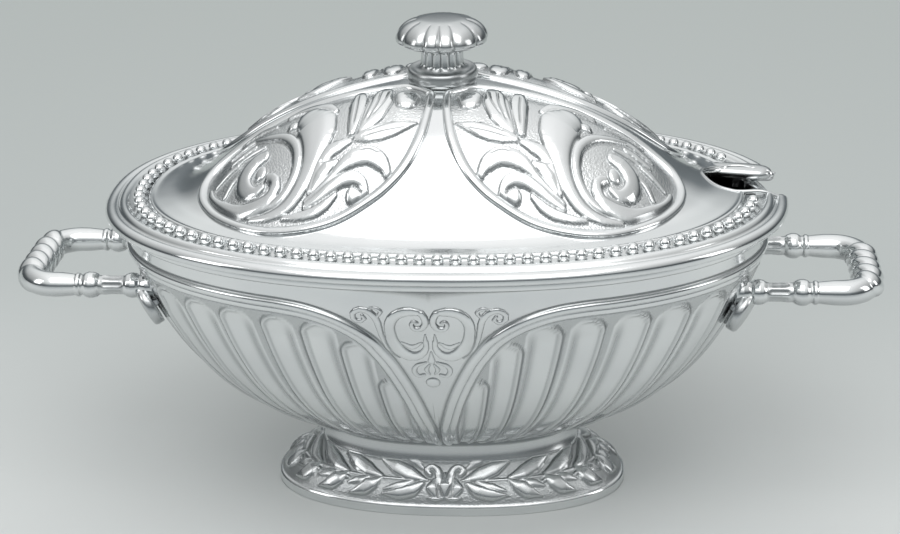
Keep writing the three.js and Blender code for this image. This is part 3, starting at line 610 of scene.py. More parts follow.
def bowl_relief(x, y, rim, shrink):
    """Relief, hollow and stipple of the wall. rim is the place along the rim, in mm."""
    below = below_rib(x, y)
    under = smooth(below, RIB_WIDTH - 0.4, RIB_WIDTH + 0.6)
    clear = smooth(below, RIB_WIDTH + 0.4, RIB_WIDTH + 2.4)
    ground, lines = under.copy(), np.zeros(x.shape)
    dishes, ridges, inner_slope_shade = (np.zeros(x.shape) for _ in range(3))
    for centre, half, top in FLUTES:
        across = (rim - centre) * shrink
        edge = np.hypot(across, np.maximum(y - top + half, 0)) - half * shrink
        outer = smooth(across / (half * shrink), -1, 0.3)
        size = FLUTE_EDGE * np.sqrt(shrink)
        dish = np.clip(1 - (1 + edge / (half * shrink)) ** 2, 0, 1)
        ridge = np.sqrt(np.clip(1 - ((edge - size) / size) ** 2, 0, 1))
        dishes = np.maximum(dishes, np.sqrt(shrink) * dish * (1.6 + 1.8 * outer))
        # Painted shade: the inner slope of each flute is darkened below its head.
        inner = bump(across / (half * shrink), -0.8, 0.3) * (edge < size)
        inner_slope_shade = np.maximum(inner_slope_shade, inner * smooth(top - y, 0, 12))
        ridges = np.maximum(ridges, (0.25 + 0.65 * outer) * ridge)
        lines = np.maximum(lines, outer * bump(edge, 2.2 * size, 0.85 * size))
        lines = np.maximum(lines, 0.5 * outer * bump(edge, -0.2, 0.7 * size))
        ground = np.minimum(ground, smooth(edge, 1.8 * size, 2.2 * size))
    relief = ridges * clear - dishes * under
    round_part = ROUND_RISE * np.sqrt(np.clip(1 - ((below - ROUND_MIDDLE) / ROUND_HALF) ** 2, 0, 1))
    flat_part = FLAT_RISE * np.sqrt(np.clip(1 - ((below - FLAT_MIDDLE) / FLAT_HALF) ** 4, 0, 1))
    relief = np.maximum(relief, np.maximum(round_part, flat_part))
    rib_lines = (bump(below, -0.5, 0.7) + 0.8 * bump(below, RIB_WIDTH, 0.7)
                 + 0.5 * bump(below, 3.9, 0.4))
    relief -= LINE_DEPTH * (rib_lines + 0.7 * lines * clear)
    hollow = np.maximum.reduce([0.42 * ground, 0.55 * inner_slope_shade * under, 0.85 * rib_lines,
                                lines * clear])
    return relief, hollow, ground


# %% Bowl: spin, relief and lip
FLOOR_ROWS, LIP_ROWS, LIP_LINE = 2, 9, 140.6


def bowl_profile():
    floor = [(0, 35), (30, 35)]
    lip = [(153.4, 140.55), (154.8, 140.8), (155.4, 141.5), (155.5, 142.8), (155.4, 144.4),
           (154.7, 145.2), (151.5, 145.2), (148.6, 145.1), (148.0, 144.2)]
    lining = [(148, 137), (146.6, 128.7), (141.2, 113.5), (132.2, 95.5), (121.3, 79.5),
              (109.2, 66.9), (94.6, 56.5), (78, 48.2), (60, 43), (0, 43)]
    even = np.linspace(0, wall_up[-1], lengths_up.shape[1])
    wall = np.column_stack([on_wall(even, wall_rows[:, 0]), on_wall(even, wall_rows[:, 1])])
    return np.array(floor + list(wall) + lip + lining)


profile = bowl_profile()
mesh, rows, shares = spun(profile, BOWL_COLUMNS)
column = (shares * BOWL_COLUMNS).round().astype(int)
quarter, within_quarter = column // (BOWL_COLUMNS // 4), column % (BOWL_COLUMNS // 4)
from_front = np.where(quarter % 2 == 0, within_quarter, BOWL_COLUMNS // 4 - within_quarter)
rim = places[from_front]
shares = (quarter + np.where(quarter % 2 == 0, rim, QUARTER - rim) / QUARTER) / 4 % 1
wall_end = FLOOR_ROWS + lengths_up.shape[1]
wall_points = (rows >= FLOOR_ROWS) & (rows < wall_end)
up = lengths_up[from_front, np.clip(rows - FLOOR_ROWS, 0, lengths_up.shape[1] - 1)]
radius = on_wall(up, wall_rows[:, 0])
relief, hollow, stipple = bowl_relief(rim * radius / CHART_LONG, up, rim, radius / CHART_LONG)
fade = wall_points * between(up, (0, 5), (wall_up[-1] - 3, wall_up[-1] - 1))
relief *= fade
long = np.where(wall_points, radius + on_wall(up, wall_out[:, 0]) * relief, profile[rows, 0])
height = np.where(wall_points, on_wall(up, wall_rows[:, 1]) + on_wall(up, wall_out[:, 1]) * relief,
                  profile[rows, 1])
x, y = on_oval(long, oval_short(long), even_angle(shares))
set_coordinates(mesh, x, y, height)
lip_shade = 0.7 * (1 - smooth(np.abs(height - LIP_LINE), 0.3, 0.9)) * (rows < wall_end + 3)
lining = rows >= wall_end + LIP_ROWS
piece("bowl_casting", mesh, "base", "cast_metal", ["bowl"],
      hollow=np.where(lining, 0.3, np.maximum(hollow * fade, lip_shade)), stipple=stipple * fade)

# %% [markdown]
# Inside each V stands an ornament of two scrolls over a small drop. It is far finer than the
# wall's grid, so it gets a patch of its own: a flat plate on the chart with small cells,
# wrapped on to the wall. Its ground lies just under the wall's surface, so only the scrolls
# come through.

# %% Bowl: ornament in the V
ORNAMENT = [
    ([(14, 113.5), (18.2, 118.5), (20.6, 125), (21.6, 131), (22.8, 136.5), (25.4, 140.2),
      (29.4, 141.4), (32.6, 139.4), (32.4, 136), (29.6, 134.8), (27.6, 136.6), (28.6, 138.2)],
     [0.6, 0.9, 1.1, 1.2, 1.4, 1.6, 1.7, 1.6, 1.5, 1.3, 1.1, 0.9], 1.2),
    ([(22, 138), (20.6, 140.6), (22.5, 142.2), (26, 142)], [0.8, 1, 1, 0.6], 1),
    ([(3.2, 140.2), (7, 141), (11.5, 140.4), (15, 138), (16.9, 134), (17, 128), (15.6, 121.5),
      (12.3, 116.6), (8, 114.3), (4.4, 115.6), (2.2, 119), (1.6, 123.5)],
     [1.6, 2.4, 2.6, 2.6, 2.5, 2.6, 2.9, 3.1, 3.1, 2.4, 1.6, 0.9], 1.6),
    ([(3.2, 140.2), (1.9, 137.4), (1.8, 134), (3.6, 131.6), (6.4, 131.5), (7.6, 133.6),
      (6.6, 135.6), (5.2, 135)], [1.6, 1.7, 1.6, 1.5, 1.4, 1.2, 1, 0.7], 1.5),
    ([(4, 122.5), (8, 120), (12.5, 122.5)], [0.8, 1.6, 0.8], 0.8),
    ([(2, 118), (2.2, 123), (2, 127.6)], [0.6, 1.2, 0.5], 1),
    ([(0, 117), (0, 111.5)], [0.5, 1.8], 1.1),
    ([(2.5, 110.5), (6.4, 108.5), (7.8, 104.6), (6, 101.6), (3.6, 102.4)],
     [0.7, 1.1, 1.3, 1.2, 0.9], 1.1),
    ([(1, 109), (2.4, 105.6), (1, 102.6)], [0.6, 1.2, 0.5], 1),
    ([(0, 97.2), (0, 96.8)], [3.2, 3.2], 1.4),
]
ORNAMENT_RISE, ORNAMENT_CELL = 1.15, 0.32
ORNAMENT_LOW, ORNAMENT_HIGH = (-36, 92), (36, 145)
ORNAMENT_SUNK, ORNAMENT_ROOT = 0.3, 1.5


# %% Bowl: the ornament's plate
def plate(low, high, cell, keep, thickness=1):
    """A flat plate of square cells between two corners, less the cells that keep drops."""
    low, size = np.asarray(low, float), np.subtract(high, low)
    bm = bmesh.new()
    bmesh.ops.create_grid(bm, x_segments=int(size[0] / cell), y_segments=int(size[1] / cell),
                          size=0.5)
    bmesh.ops.scale(bm, verts=bm.verts[:], vec=(size[0], size[1], 1))
    bmesh.ops.translate(bm, verts=bm.verts[:], vec=(*(low + size / 2), 0))
    middles = np.array([face.calc_center_median() for face in bm.faces])
    kept = keep(middles[:, 0], middles[:, 1])
    bmesh.ops.delete(bm, geom=[f for f, k in zip(bm.faces, kept) if not k], context="FACES")
    bmesh.ops.solidify(bm, geom=bm.faces[:], thickness=-thickness)
    mesh = finished(bm, "plate")
    where = coordinates(mesh)
    return mesh, where[:, 0], where[:, 1], where[:, 2] > where[:, 2].mean()


def ornament_chart(x, y):
    chart = new_chart(np.abs(x), y)
    for points, widths, height in ORNAMENT:
        stroke(chart, points, widths, ORNAMENT_RISE * height)
    return chart["height"], chart["shade"]


def near_ornament(x, y):
    return np.add(*ornament_chart(x, y)) > 0.02


def ornament(front):
    mesh, x, y, top = plate(ORNAMENT_LOW, ORNAMENT_HIGH, ORNAMENT_CELL, near_ornament)
    relief, shade = ornament_chart(x, y)
    radius = on_wall(y, wall_rows[:, 0])
    share = x * CHART_LONG / radius / QUARTER / 4
    out = np.where(top, relief - ORNAMENT_SUNK, -ORNAMENT_ROOT)
    long = radius + on_wall(y, wall_out[:, 0]) * out
    plan_x, plan_y = on_oval(long, oval_short(long), even_angle(share % 1))
    height = on_wall(y, wall_rows[:, 1]) + on_wall(y, wall_out[:, 1]) * out
    set_coordinates(mesh, front * plan_x, front * plan_y, height)
    return mesh, 0.8 * np.maximum(shade, 1 - smooth(relief, 0.1, 0.5)) * top


for name, front in (("ornament_front", 1), ("ornament_back", -1)):
    mesh, hollow = ornament(front)
    piece(name, mesh, "base", "cast_metal", hollow=hollow)

# %% [markdown]
# The lid's shell is spun too: skirt, rolled edge, groove, bead bed, ledge and dome. The
# dome turns from the oval to a circle near the knob. The ladle opening is cut as on the
# real lid, by a block with a round end, and gets a raised lip of its own afterwards.

# %% Lid: shell
LID_BASE, LEDGE_LONG = 145.5, 136.0
LID_COLUMNS = 480
NOTCH_X, NOTCH_Y, NOTCH_RADIUS, NOTCH_DEPTH = 139.5, 14.0, 17.0, 40.0
NOTCH_BELOW, NOTCH_TALL = 10.5, 60.0
BED_INNER, BED_OUTER, BED_LOWEST = (140.4, 141.6), (149.6, 150.8), 150.6
UNDERSIDE_DEPTH, UNDERSIDE_REACH = 1.5, 146
DOME = [(136, 153.1), (126.5, 154.7), (117, 159.6), (102, 170.5), (85.7, 181.9), (66.6, 191.8),
        (46.2, 199), (27.2, 203.4), (18.4, 205)]
dome_rows = smooth_line(DOME, 60)
BEAD_LINE = LID_BASE + 7


def lid_profile():
    under = [(0, 201.5), (18, 201.3), (30, 199.3), (46, 195.2), (64, 188.6), (82.4, 178.7),
             (98.6, 167.5), (112.8, 157), (124, 151.6), (133, 149.4), (136, 148.6),
             (143.2, 147.2), (143.2, 142.5)]
    skirt = [(146.8, 142.5), (146.8, 145.5), (150, 145.5)]
    edge = smooth_line([(158.6, 145.5), (160.3, 145.7), (161.4, 146.6), (161.7, 148),
                        (161.2, 149.6), (160, 150.7), (158.3, 151.2), (156.9, 150.9),
                        (156, 150.2)], 24)
    step = [(155.4, 150.2), (154.9, 151.1), (154, 152.1), (152.8, 152.6), (151.7, 152.4),
            (150.8, 151.6), (150, 151), (149.3, 150.8), (141.9, 150.8), (141.3, 151.7),
            (140.7, 152.9), (140, 153.3), (139.3, 153.3), (138.7, 152.9), (137.4, 152.9)]
    return np.array(under + skirt + list(edge) + step + list(dome_rows) + [(0, 205)])


# %% Lid: the ladle opening
def notch_block():
    """The block that cuts the ladle opening: a U in plan, open towards +X."""
    bm = bmesh.new()
    bmesh.ops.create_circle(bm, segments=96, radius=NOTCH_RADIUS * MM, cap_ends=True)
    for vert in bm.verts:
        if vert.co.x > 0:
            vert.co.x = NOTCH_DEPTH * MM
    grown = bmesh.ops.extrude_face_region(bm, geom=bm.faces[:])["geom"]
    tops = [v for v in grown if isinstance(v, bmesh.types.BMVert)]
    bmesh.ops.translate(bm, verts=tops, vec=(0, 0, NOTCH_TALL * MM))
    centre = Vector((NOTCH_X, NOTCH_Y, LID_BASE - NOTCH_BELOW))
    bmesh.ops.translate(bm, verts=bm.verts[:], vec=centre * MM)
    bmesh.ops.remove_doubles(bm, verts=bm.verts[:], dist=1e-7)
    bmesh.ops.recalc_face_normals(bm, faces=bm.faces[:])
    return finished(bm, "notch_block")


def cut(mesh, cutter):
    """The mesh less the cutter, as a new mesh."""
    block, whole = in_scene("block", cutter), in_scene("whole", mesh)
    modifier = whole.modifiers.new("notch", "BOOLEAN")
    modifier.operation, modifier.object, modifier.solver = "DIFFERENCE", block, "EXACT"
    graph = bpy.context.evaluated_depsgraph_get()
    result = bpy.data.meshes.new_from_object(whole.evaluated_get(graph))
    for made in (block, whole):
        bpy.data.objects.remove(made)
    return result


# %% Lid: spin and cut
profile = lid_profile()
mesh, rows, shares = spun(profile, LID_COLUMNS)
x, y = on_oval(profile[rows, 0], dome_short(profile[rows, 0]), even_angle(shares))
set_coordinates(mesh, x, y, profile[rows, 1])
mesh = cut(mesh, notch_block())
where = coordinates(mesh) / MM
reach = rim_reach(where[:, 0], where[:, 1])
bed = between(reach, BED_INNER, BED_OUTER) * (where[:, 2] > BED_LOWEST)
dome_top = np.interp(reach, dome_rows[::-1, 0], dome_rows[::-1, 1])
inside = where[:, 2] < dome_top - UNDERSIDE_DEPTH
piece("lid_casting", mesh, "lid", "cast_metal", ["lid"],
      hollow=np.maximum(0.4 * bed, 0.3 * inside * (reach < UNDERSIDE_REACH)), stipple=0 * bed)

# %% [markdown]
# Ninety-odd beads stand in the bed, each a ball sunk to a little under half. One small ball
# of a hundred and sixty faces is copied along the rim at even steps, and left out where the
# opening is.

# %% Lid: bead row
BEADS, BEAD_RADIUS = 98, 2.85
NO_BEADS_FROM, NO_BEADS_TO = -9, 40


def bead_row():
    bm = bmesh.new()
    bmesh.ops.create_uvsphere(bm, u_segments=16, v_segments=10, radius=BEAD_RADIUS * MM)
    bead, bm = finished(bm, "bead"), bmesh.new()
    angles = even_angle((np.arange(BEADS) + 0.5) / BEADS)
    for x, y in zip(*on_oval(RIM_LONG, RIM_SHORT, angles)):
        if x < 0 or not NO_BEADS_FROM < y < NO_BEADS_TO:
            one = bead.copy()
            one.transform(Matrix.Translation(Vector((x, y, BEAD_LINE)) * MM))
            bm.from_mesh(one)
    return finished(bm, "beads")


mesh = bead_row()
height = coordinates(mesh)[:, 2] / MM - BEAD_LINE
# Painted shade: each bead is darker on its lower part, down where it meets the bed.
piece("bead_row", mesh, "lid", "cast_metal", hollow=0.8 - 0.8 * smooth(height, -2.2, -0.4))

# %% [markdown]
# A rib or a bar is swept: a flat grid is rolled up into a tube. One side of the grid goes
# round the tube, and the other follows a path, with its own width and height at each
# place. The two edges that meet are merged, and open ends are filled.

# %% Sweeping
def frames(path, closed):
    """The way to the side and the way up, at each point of a path."""
    if closed:
        along = np.roll(path, -1, 0) - np.roll(path, 1, 0)
    else:
        along = np.gradient(path, axis=0)
    along /= np.linalg.norm(along, axis=1)[:, None]
    side = np.cross(along, (0, 0, 1))
    side /= np.linalg.norm(side, axis=1)[:, None]
    return side, np.cross(side, along)


def swept(path, radius, sides=16, closed=False):
    """Mesh of a ring carried along a path. radius gives (sideways, up) sizes of the ring
    from how far along it is, 0 to 1, and the angle round it."""
    steps = len(path) if closed else len(path) - 1
    bm = bmesh.new()
    bmesh.ops.create_grid(bm, x_segments=sides, y_segments=steps, size=0.5)
    mesh, bm = finished(bm, "grid"), bmesh.new()
    where = coordinates(mesh) + 0.5
    index = (where[:, 1] * steps).round().astype(int) % len(path)
    angle = where[:, 0] * 2 * np.pi
    side, up = frames(path, closed)
    across, high = radius(index / (len(path) - 1), angle)
    x, y, z = (path[index] + side[index] * (across * np.cos(angle))[:, None]
               + up[index] * (high * np.sin(angle))[:, None]).T
    set_coordinates(mesh, x, y, z)
    bm.from_mesh(mesh)
    bmesh.ops.remove_doubles(bm, verts=bm.verts[:], dist=1e-7)
    if not closed:
        bmesh.ops.holes_fill(bm, edges=[e for e in bm.edges if e.is_boundary], sides=0)
    bmesh.ops.recalc_face_normals(bm, faces=bm.faces[:])
    return finished(bm, "swept")


# %% [markdown]
# Four drop-shaped panels stand on the dome, each inside a rounded rib, with acanthus
# scrolls on a stippled ground. All four are the same, mirrored. The dome's height at a
# place in plan is found by halving: it says which oval the place lies on.

# %% Lid: dome height and panel outline
PANEL_OUTLINE = [(3.5, 18.5), (4.5, 32), (8, 45), (14, 54.5), (22.5, 61), (33, 65.5), (48, 69),
                 (63, 69), (78, 66), (92, 58), (104, 45.6), (110, 32), (110.2, 23), (106, 14.5),
                 (96, 9.6), (84, 7.5), (68, 6.2), (50, 6.3), (34, 7.3), (20, 8.7), (16, 9.5)]
outline = smooth_line(PANEL_OUTLINE, 220)


def dome_reach(x, y):
    """Half length of the dome's oval through a place in plan."""
    low, high = np.zeros(x.shape), np.full(x.shape, LEDGE_LONG)
    for _ in range(26):
        middle = (low + high) / 2
        outside = ((np.abs(x) / middle) ** OVAL_POWER
                   + (np.abs(y) / dome_short(middle)) ** OVAL_POWER) > 1
        low, high = np.where(outside, middle, low), np.where(outside, high, middle)
    return low


def dome_height(x, y):
    return np.interp(dome_reach(x, y), dome_rows[::-1, 0], dome_rows[::-1, 1])


def within(x, y, line):
    """True where a place lies inside the closed line."""
    inside = np.zeros(x.shape, bool)
    for (ax, ay), (bx, by) in zip(line, np.roll(line, -1, 0)):
        if ay != by:
            crosses = ((ay > y) != (by > y)) & (x < ax + (y - ay) / (by - ay) * (bx - ax))
            inside ^= crosses
    return inside


# %% Lid: the leaves of a panel
PANEL_LEAVES = [
    # Main stem, which ends in the big smooth lobe, and the band that rings the volute
    ([(84, 60.5), (76, 61.8), (70, 61.2), (64, 58.6), (59.8, 54.5), (57.2, 49), (55.6, 43),
      (55.2, 36), (56.2, 29.5), (59, 25)], [0.8, 1.4, 2, 2.8, 3.4, 4.2, 6, 8, 8.4, 6], 3),
    ([(86, 57.6), (78, 58.6), (71, 58), (66.3, 54.8), (63.6, 50), (63, 45), (64, 39.5),
      (66.8, 34.6), (71, 30.3), (77, 26.6), (85, 22)],
     [1.4, 1.2, 1.5, 1.7, 1.9, 2, 2, 1.9, 1.7, 1.5, 1], 1.9),
    # Volute: the outer band, the crescent inside it and the eye
    ([(106, 35), (104.5, 41.5), (100.5, 47.6), (95, 52.3), (88.5, 55.8), (81.5, 56.7),
      (75.6, 55.5), (72.8, 52.6), (73.4, 49.8), (76.3, 47.8)],
     [1.2, 2, 2.6, 2.9, 2.8, 2.8, 3, 3, 2.6, 1.6], 2.4),
    ([(79.5, 36.6), (84, 37.2), (87.6, 40.2), (88.6, 44.4), (86.6, 48.6), (82.8, 51), (79, 50.4)],
     [2.4, 3.6, 3.8, 3.4, 2.8, 2.1, 1.2], 2.4),
    ([(80.4, 44.2), (80.4, 43.8)], [2.6, 2.6], 1.5),
    # Feathers at the outer end
    ([(93, 32), (98, 33), (103, 35)], [1.2, 1.6, 1.1], 1.7),
    ([(85, 27), (90, 27.3), (96, 28.6)], [1.1, 1.5, 1], 1.7),
    ([(80, 30.5), (87, 30), (93, 31)], [0.8, 1.3, 0.8], 1.5),
    ([(91, 38.5), (95, 40), (98, 44)], [1, 1.5, 1], 1.6),
    ([(82, 22), (89, 21.4), (97, 23.4)], [0.8, 1.5, 0.7], 1.4),
    # Hooked leaves by the lower edge, with a ball in the hook
    ([(58, 61.3), (52, 59), (47, 56.4), (43, 53.6), (39, 51.6), (35, 50.7), (30, 50.8),
      (25.5, 52.4), (22.3, 54.6), (21, 56.8)],
     [0.9, 1.1, 1.2, 1.3, 2.2, 2.9, 2.9, 2.8, 2.6, 1.6], 2),
    ([(58, 62.7), (52, 61.3), (46, 59.1), (40, 57.5), (35, 57.8), (31.5, 60), (30.8, 62.5),
      (32.5, 64.3)], [1, 1.4, 1.7, 1.8, 1.8, 1.8, 1.7, 1.4], 1.8),
    ([(34.5, 63.6), (36.8, 62.6)], [2.2, 2.2], 2),
    ([(44, 61.6), (48, 63.6), (53, 65), (58, 65.3), (64, 64.9), (68, 64.2)],
     [0.8, 1.5, 1.6, 1.4, 1.2, 0.8], 1.5),
    # Leaves that spring from the stem towards the knob
    ([(39, 44), (43, 44.6), (47.5, 46), (51, 49), (54, 53.5), (56.4, 58.5)],
     [1.2, 2.6, 2.6, 2.2, 1.6, 1], 2),
    ([(44.5, 51), (48.5, 52), (52, 54.8), (55, 58.4)], [1, 2.6, 2.6, 1.2], 1.9),
    ([(36, 43), (28, 42.6), (20, 41.4), (9, 38)], [1.4, 2.4, 3, 3.2, 2.8, 2.1, 1.2, 0.4], 1.8),
    # Fronds by the knob, the bud between them and the boss
    ([(34, 40), (29, 33), (26.3, 26), (25.2, 17.6)], [1.8, 4.8, 5.4, 3.8], 2.1),
    ([(38.4, 39.6), (37.2, 32), (36.6, 25), (36.6, 17)], [1.8, 3.2, 3.8, 2.8], 2.1),
    ([(14.5, 27), (14.3, 24)], [4.4, 5], 2.2),
    # Top leaf and the small lobes over it
    ([(47.5, 25), (50.5, 21.5), (55, 18.5), (60, 16), (66, 14.8), (70, 15)],
     [1.6, 2.4, 2.6, 2.6, 2.2, 1.4], 1.9),
    ([(61, 22.3), (63.4, 22.3)], [1.5, 1.5], 1.8),
    ([(67, 25.5), (67.6, 25.5)], [2, 2], 1.8),
    ([(76, 18.4), (84, 14.6), (93, 14)], [0.8, 1.7, 0.7], 1.5),
]
LEAF_RISE, LEAF_OUTLINE, GROOVE_DEPTH = 1.15, 0.35, 0.6
PANEL_CELL, PANEL_GROUND, PANEL_ROOT = 0.37, 0.1, 1.2
PANEL_LIFT, VOLUTE, VOLUTE_LIFT, VOLUTE_REACH = 2.2, (82, 44), 1.2, 15
PANEL_GROOVES = [
    ([(82, 60), (74, 60.3), (68, 59), (64, 56), (61.5, 51), (60.7, 46), (61.5, 40), (64, 34),
      (68, 29.5), (74, 25.5), (82, 20)], 0.6),
    ([(96, 47), (92, 51), (86, 54), (80, 55), (76, 54.3), (75, 51.5), (76.5, 49.3)], 0.5),
    ([(45, 50.2), (48, 50.4), (52, 50)], 0.45),
    ([(42, 43), (45, 43.4), (48, 43)], 0.45),
    ([(34, 49.2), (30, 49.2), (25, 51)], 0.45),
    ([(33, 43.4), (26, 42.8), (19, 41.8), (13, 40)], 0.45),
    ([(31, 41.6), (25, 40.2), (18, 38.8)], 0.4),
    ([(32, 37), (28, 29), (26.4, 19)], 0.5),
    ([(29.5, 35), (24.5, 28), (22.2, 20)], 0.45),
    ([(33.5, 36), (31, 28), (29.8, 19)], 0.45),
    ([(38, 37), (37.2, 29), (37.2, 19)], 0.45),
]


def panel_relief(x, y):
    """Height of one panel's leaves over its ground, and how shaded it is, on the chart."""
    chart = new_chart(x, y)
    for points, widths, height in PANEL_LEAVES:
        stroke(chart, points, np.multiply(widths, LEAF_RISE), LEAF_RISE * height, LEAF_OUTLINE)
    for points, width in PANEL_GROOVES:
        groove(chart, points, width, GROOVE_DEPTH)
    return chart["height"], chart["shade"]


mesh, x, y, top = plate(outline.min(0), outline.max(0), PANEL_CELL,
                        lambda x, y: within(x, y, outline[::2]))
edge, _ = near(x, y, np.vstack([outline, outline[:1]])[::2])
leaves, shade = panel_relief(x, y)
lift = PANEL_LIFT * smooth(np.minimum(edge, np.hypot(x, y) - DOME[-1][0]), 0, 14)
lift += VOLUTE_LIFT * bump(np.hypot(x - VOLUTE[0], y - VOLUTE[1]), 0, VOLUTE_REACH)
base = dome_height(x, y)
carved = base + PANEL_GROUND + lift + leaves * smooth(edge, 0.4, 2)
set_coordinates(mesh, x, y, np.where(top, carved, base - PANEL_ROOT))
ground = (1 - smooth(leaves, 0.1, 0.6)) * top
# Painted shade along the panel's edge, in the crease at the foot of its rib.
rib_foot_shade = 1 - smooth(edge, 1.4, 3.4)
panel_marks = {"hollow": np.maximum.reduce([0.16 * ground, 0.75 * shade * top, 0.4 * rib_foot_shade]),
               "stipple": ground}
print("highest leaf", round(float(leaves.max()), 2), "mm")


# %% Lid: four panels and their ribs
RIB_SUNK = 0.4


def mirrored(mesh, along_side, across_side):
    """A copy of the mesh turned over to another quarter of the lid."""
    bm = bmesh.new()
    bm.from_mesh(mesh)
    bmesh.ops.scale(bm, verts=bm.verts[:], vec=(along_side, across_side, 1))
    if along_side * across_side < 0:
        bmesh.ops.reverse_faces(bm, faces=bm.faces[:])
    return finished(bm, "mirrored")


def panel_rib_mesh():
    track = smooth_line(np.vstack([PANEL_OUTLINE, PANEL_OUTLINE[:1]]), 300)[:-1]
    track = np.column_stack([track, dome_height(track[:, 0], track[:, 1]) - RIB_SUNK])

    def size(along, angle):
        here = (along * (len(track) - 1)).round().astype(int)
        slim = smooth(np.hypot(track[here, 0], track[here, 1]), 22, 48)
        return 2 + 0.8 * slim, 1.9 + 0.3 * slim
    return swept(track, size, closed=True)


rib_mesh = panel_rib_mesh()
QUARTERS = {"front_right": (1, -1), "back_right": (1, 1),
            "front_left": (-1, -1), "back_left": (-1, 1)}
for side, signs in QUARTERS.items():
    piece(f"panel_{side}", mirrored(mesh, *signs), "lid", "cast_metal", **panel_marks)
    piece(f"panel_rib_{side}", mirrored(rib_mesh, *signs), "lid", "cast_metal")

# %% [markdown]
# The opening has a slim raised lip along its U, swept from edge to edge of the flange. On
# the far side a smooth pad, swept as a short bar with rounded ends, closes the bead bed.

# %% Lid: lip of the ladle opening
LIP_BESIDE, LIP_OUTER, LIP_BEND = 1.1, 157.5, 150
FLANGE_TOP = [(150, 153), (155, 151.4), (161, 149)]


def lip_track():
    """The lip's path: in from the flange's edge, round the opening and out again."""
    half = NOTCH_RADIUS + LIP_BESIDE
    turn = np.linspace(-np.pi / 2, np.pi / 2, 60)
    arc = np.column_stack([NOTCH_X - half * np.cos(turn), NOTCH_Y + half * np.sin(turn)])
    side = [(LIP_OUTER, NOTCH_Y - half), (LIP_BEND, NOTCH_Y - half)]
    plan = np.vstack([side, arc, [(x, 2 * NOTCH_Y - y) for x, y in side[::-1]]])
    reach = rim_reach(plan[:, 0], plan[:, 1])
    height = np.where(reach < LEDGE_LONG, dome_height(plan[:, 0], plan[:, 1]),
                      np.interp(reach, *np.array(FLANGE_TOP).T))
    return smooth_line(np.column_stack([plan, height - RIB_SUNK]), 160)


CLOSING_INNER, CLOSING_OUTER = (124.6, 34.6, 150.4), (156.4, 33.8, 148.6)
CLOSING_SIZE, LIP_SIZE = np.array([6.2, 3.6]), (0.9, 1.1)


def closing_size(along, angle):
    rounded = np.sqrt(np.clip(1 - np.abs(2 * along - 1) ** 5, 0.002, 1))
    return CLOSING_SIZE[:, None] * rounded


def closing_pad():
    """The smooth pad that closes the bead bed on the far side of the opening."""
    return swept(np.linspace(CLOSING_INNER, CLOSING_OUTER, 60), closing_size, sides=32)


bm = bmesh.new()
bm.from_mesh(swept(lip_track(), lambda along, angle: LIP_SIZE, sides=12))
bm.from_mesh(closing_pad())
mesh = finished(bm, "lip")
piece("ladle_lip", mesh, "lid", "cast_metal", hollow=np.full(len(mesh.vertices), 0.35))

# %% [markdown]
# The knob is a lobed cap on a fluted neck above a dished collar. It is a spun shape whose
# radius is then drawn in: along the edges of twelve lobes on the cap, and along fourteen
# flutes on the neck.

# %% Knob
KNOB_BASE = 205.3
KNOB_COLUMNS = 336
LOBE_EDGES = np.array([0, 21.3, 57, 90])
NECK_FLUTES = 14
LOBE_DEPTH, FLUTE_DEPTH = 1.5, 1.0
COLLAR_TOP, NECK_TOP, CAP_TOP = 7.4, 17, 29.9
KNOB = [(15.2, 0.2), (16, 1.2), (16.4, 3), (16.35, 4.8), (16, 6.1), (15.4, 6.8), (14.6, 6.8),
        (13, 6.3), (11.6, 6.6), (10.5, 8), (10, 10.2), (9.8, 13), (10.1, 15.6), (11, 17.3),
        (13, 18), (16.4, 18.4), (19.6, 19), (21, 20.1), (21.3, 21.4), (20.9, 23), (19.9, 24.8),
        (18.2, 26.6), (15.6, 28.3), (12.6, 29.4), (10.8, 29.9), (9.6, 30.1), (7, 30.3)]


def knob_relief(angle, height):
    """How far the knob's radius is drawn in, at an angle from the front."""
    folded = np.abs((angle + np.pi / 2) % np.pi - np.pi / 2) * 180 / np.pi
    high = np.clip(np.searchsorted(LOBE_EDGES, folded), 1, 3)
    low_edge, high_edge = LOBE_EDGES[high - 1], LOBE_EDGES[high]
    across = 2 * (folded - low_edge) / (high_edge - low_edge) - 1
    lobe = 0.25 - LOBE_DEPTH * np.abs(across) ** 3.2
    flute = -FLUTE_DEPTH * (1 - np.abs(np.sin(NECK_FLUTES / 2 * angle)) ** 0.8)
    on_cap = between(height, (NECK_TOP, NECK_TOP + 2), (CAP_TOP - 0.6, CAP_TOP))
    on_neck = between(height, (COLLAR_TOP, COLLAR_TOP + 1.6), (NECK_TOP - 1.4, NECK_TOP))
    return on_cap * lobe, on_neck * flute


# %% Knob: spin and marks
profile = np.vstack([[(0, 0)], [(15, 0)], smooth_line(KNOB, 96), [(0, 30.4)]])
mesh, rows, shares = spun(profile, KNOB_COLUMNS)
angle = shares * 2 * np.pi
lobe, flute = knob_relief(angle, profile[rows, 1])
radius = np.maximum(profile[rows, 0] + lobe + flute, 0)
set_coordinates(mesh, radius * np.sin(angle), -radius * np.cos(angle), KNOB_BASE + profile[rows, 1])
piece("knob_casting", mesh, "lid", "cast_metal", ["knob"],
      hollow=np.maximum.reduce([0.9 * smooth(-lobe, 0.5, 1.3), 0.8 * smooth(-flute, 0.3, 0.9),
                                0.55 * (1 - smooth(profile[rows, 1], 7.6, 9)),
                                np.full(len(rows), 0.25)]))

# %% [markdown]
# Each handle is a bar bent into a flat loop. Its radius swells and narrows along the arms
# like a turned baluster, with a stretch of fine reeds near the pad, and the outer bar
# carries slanting gadroons for the fingers. The bar is swept, and two round pads, spun and
# tilted with the wall, join it to the bowl.

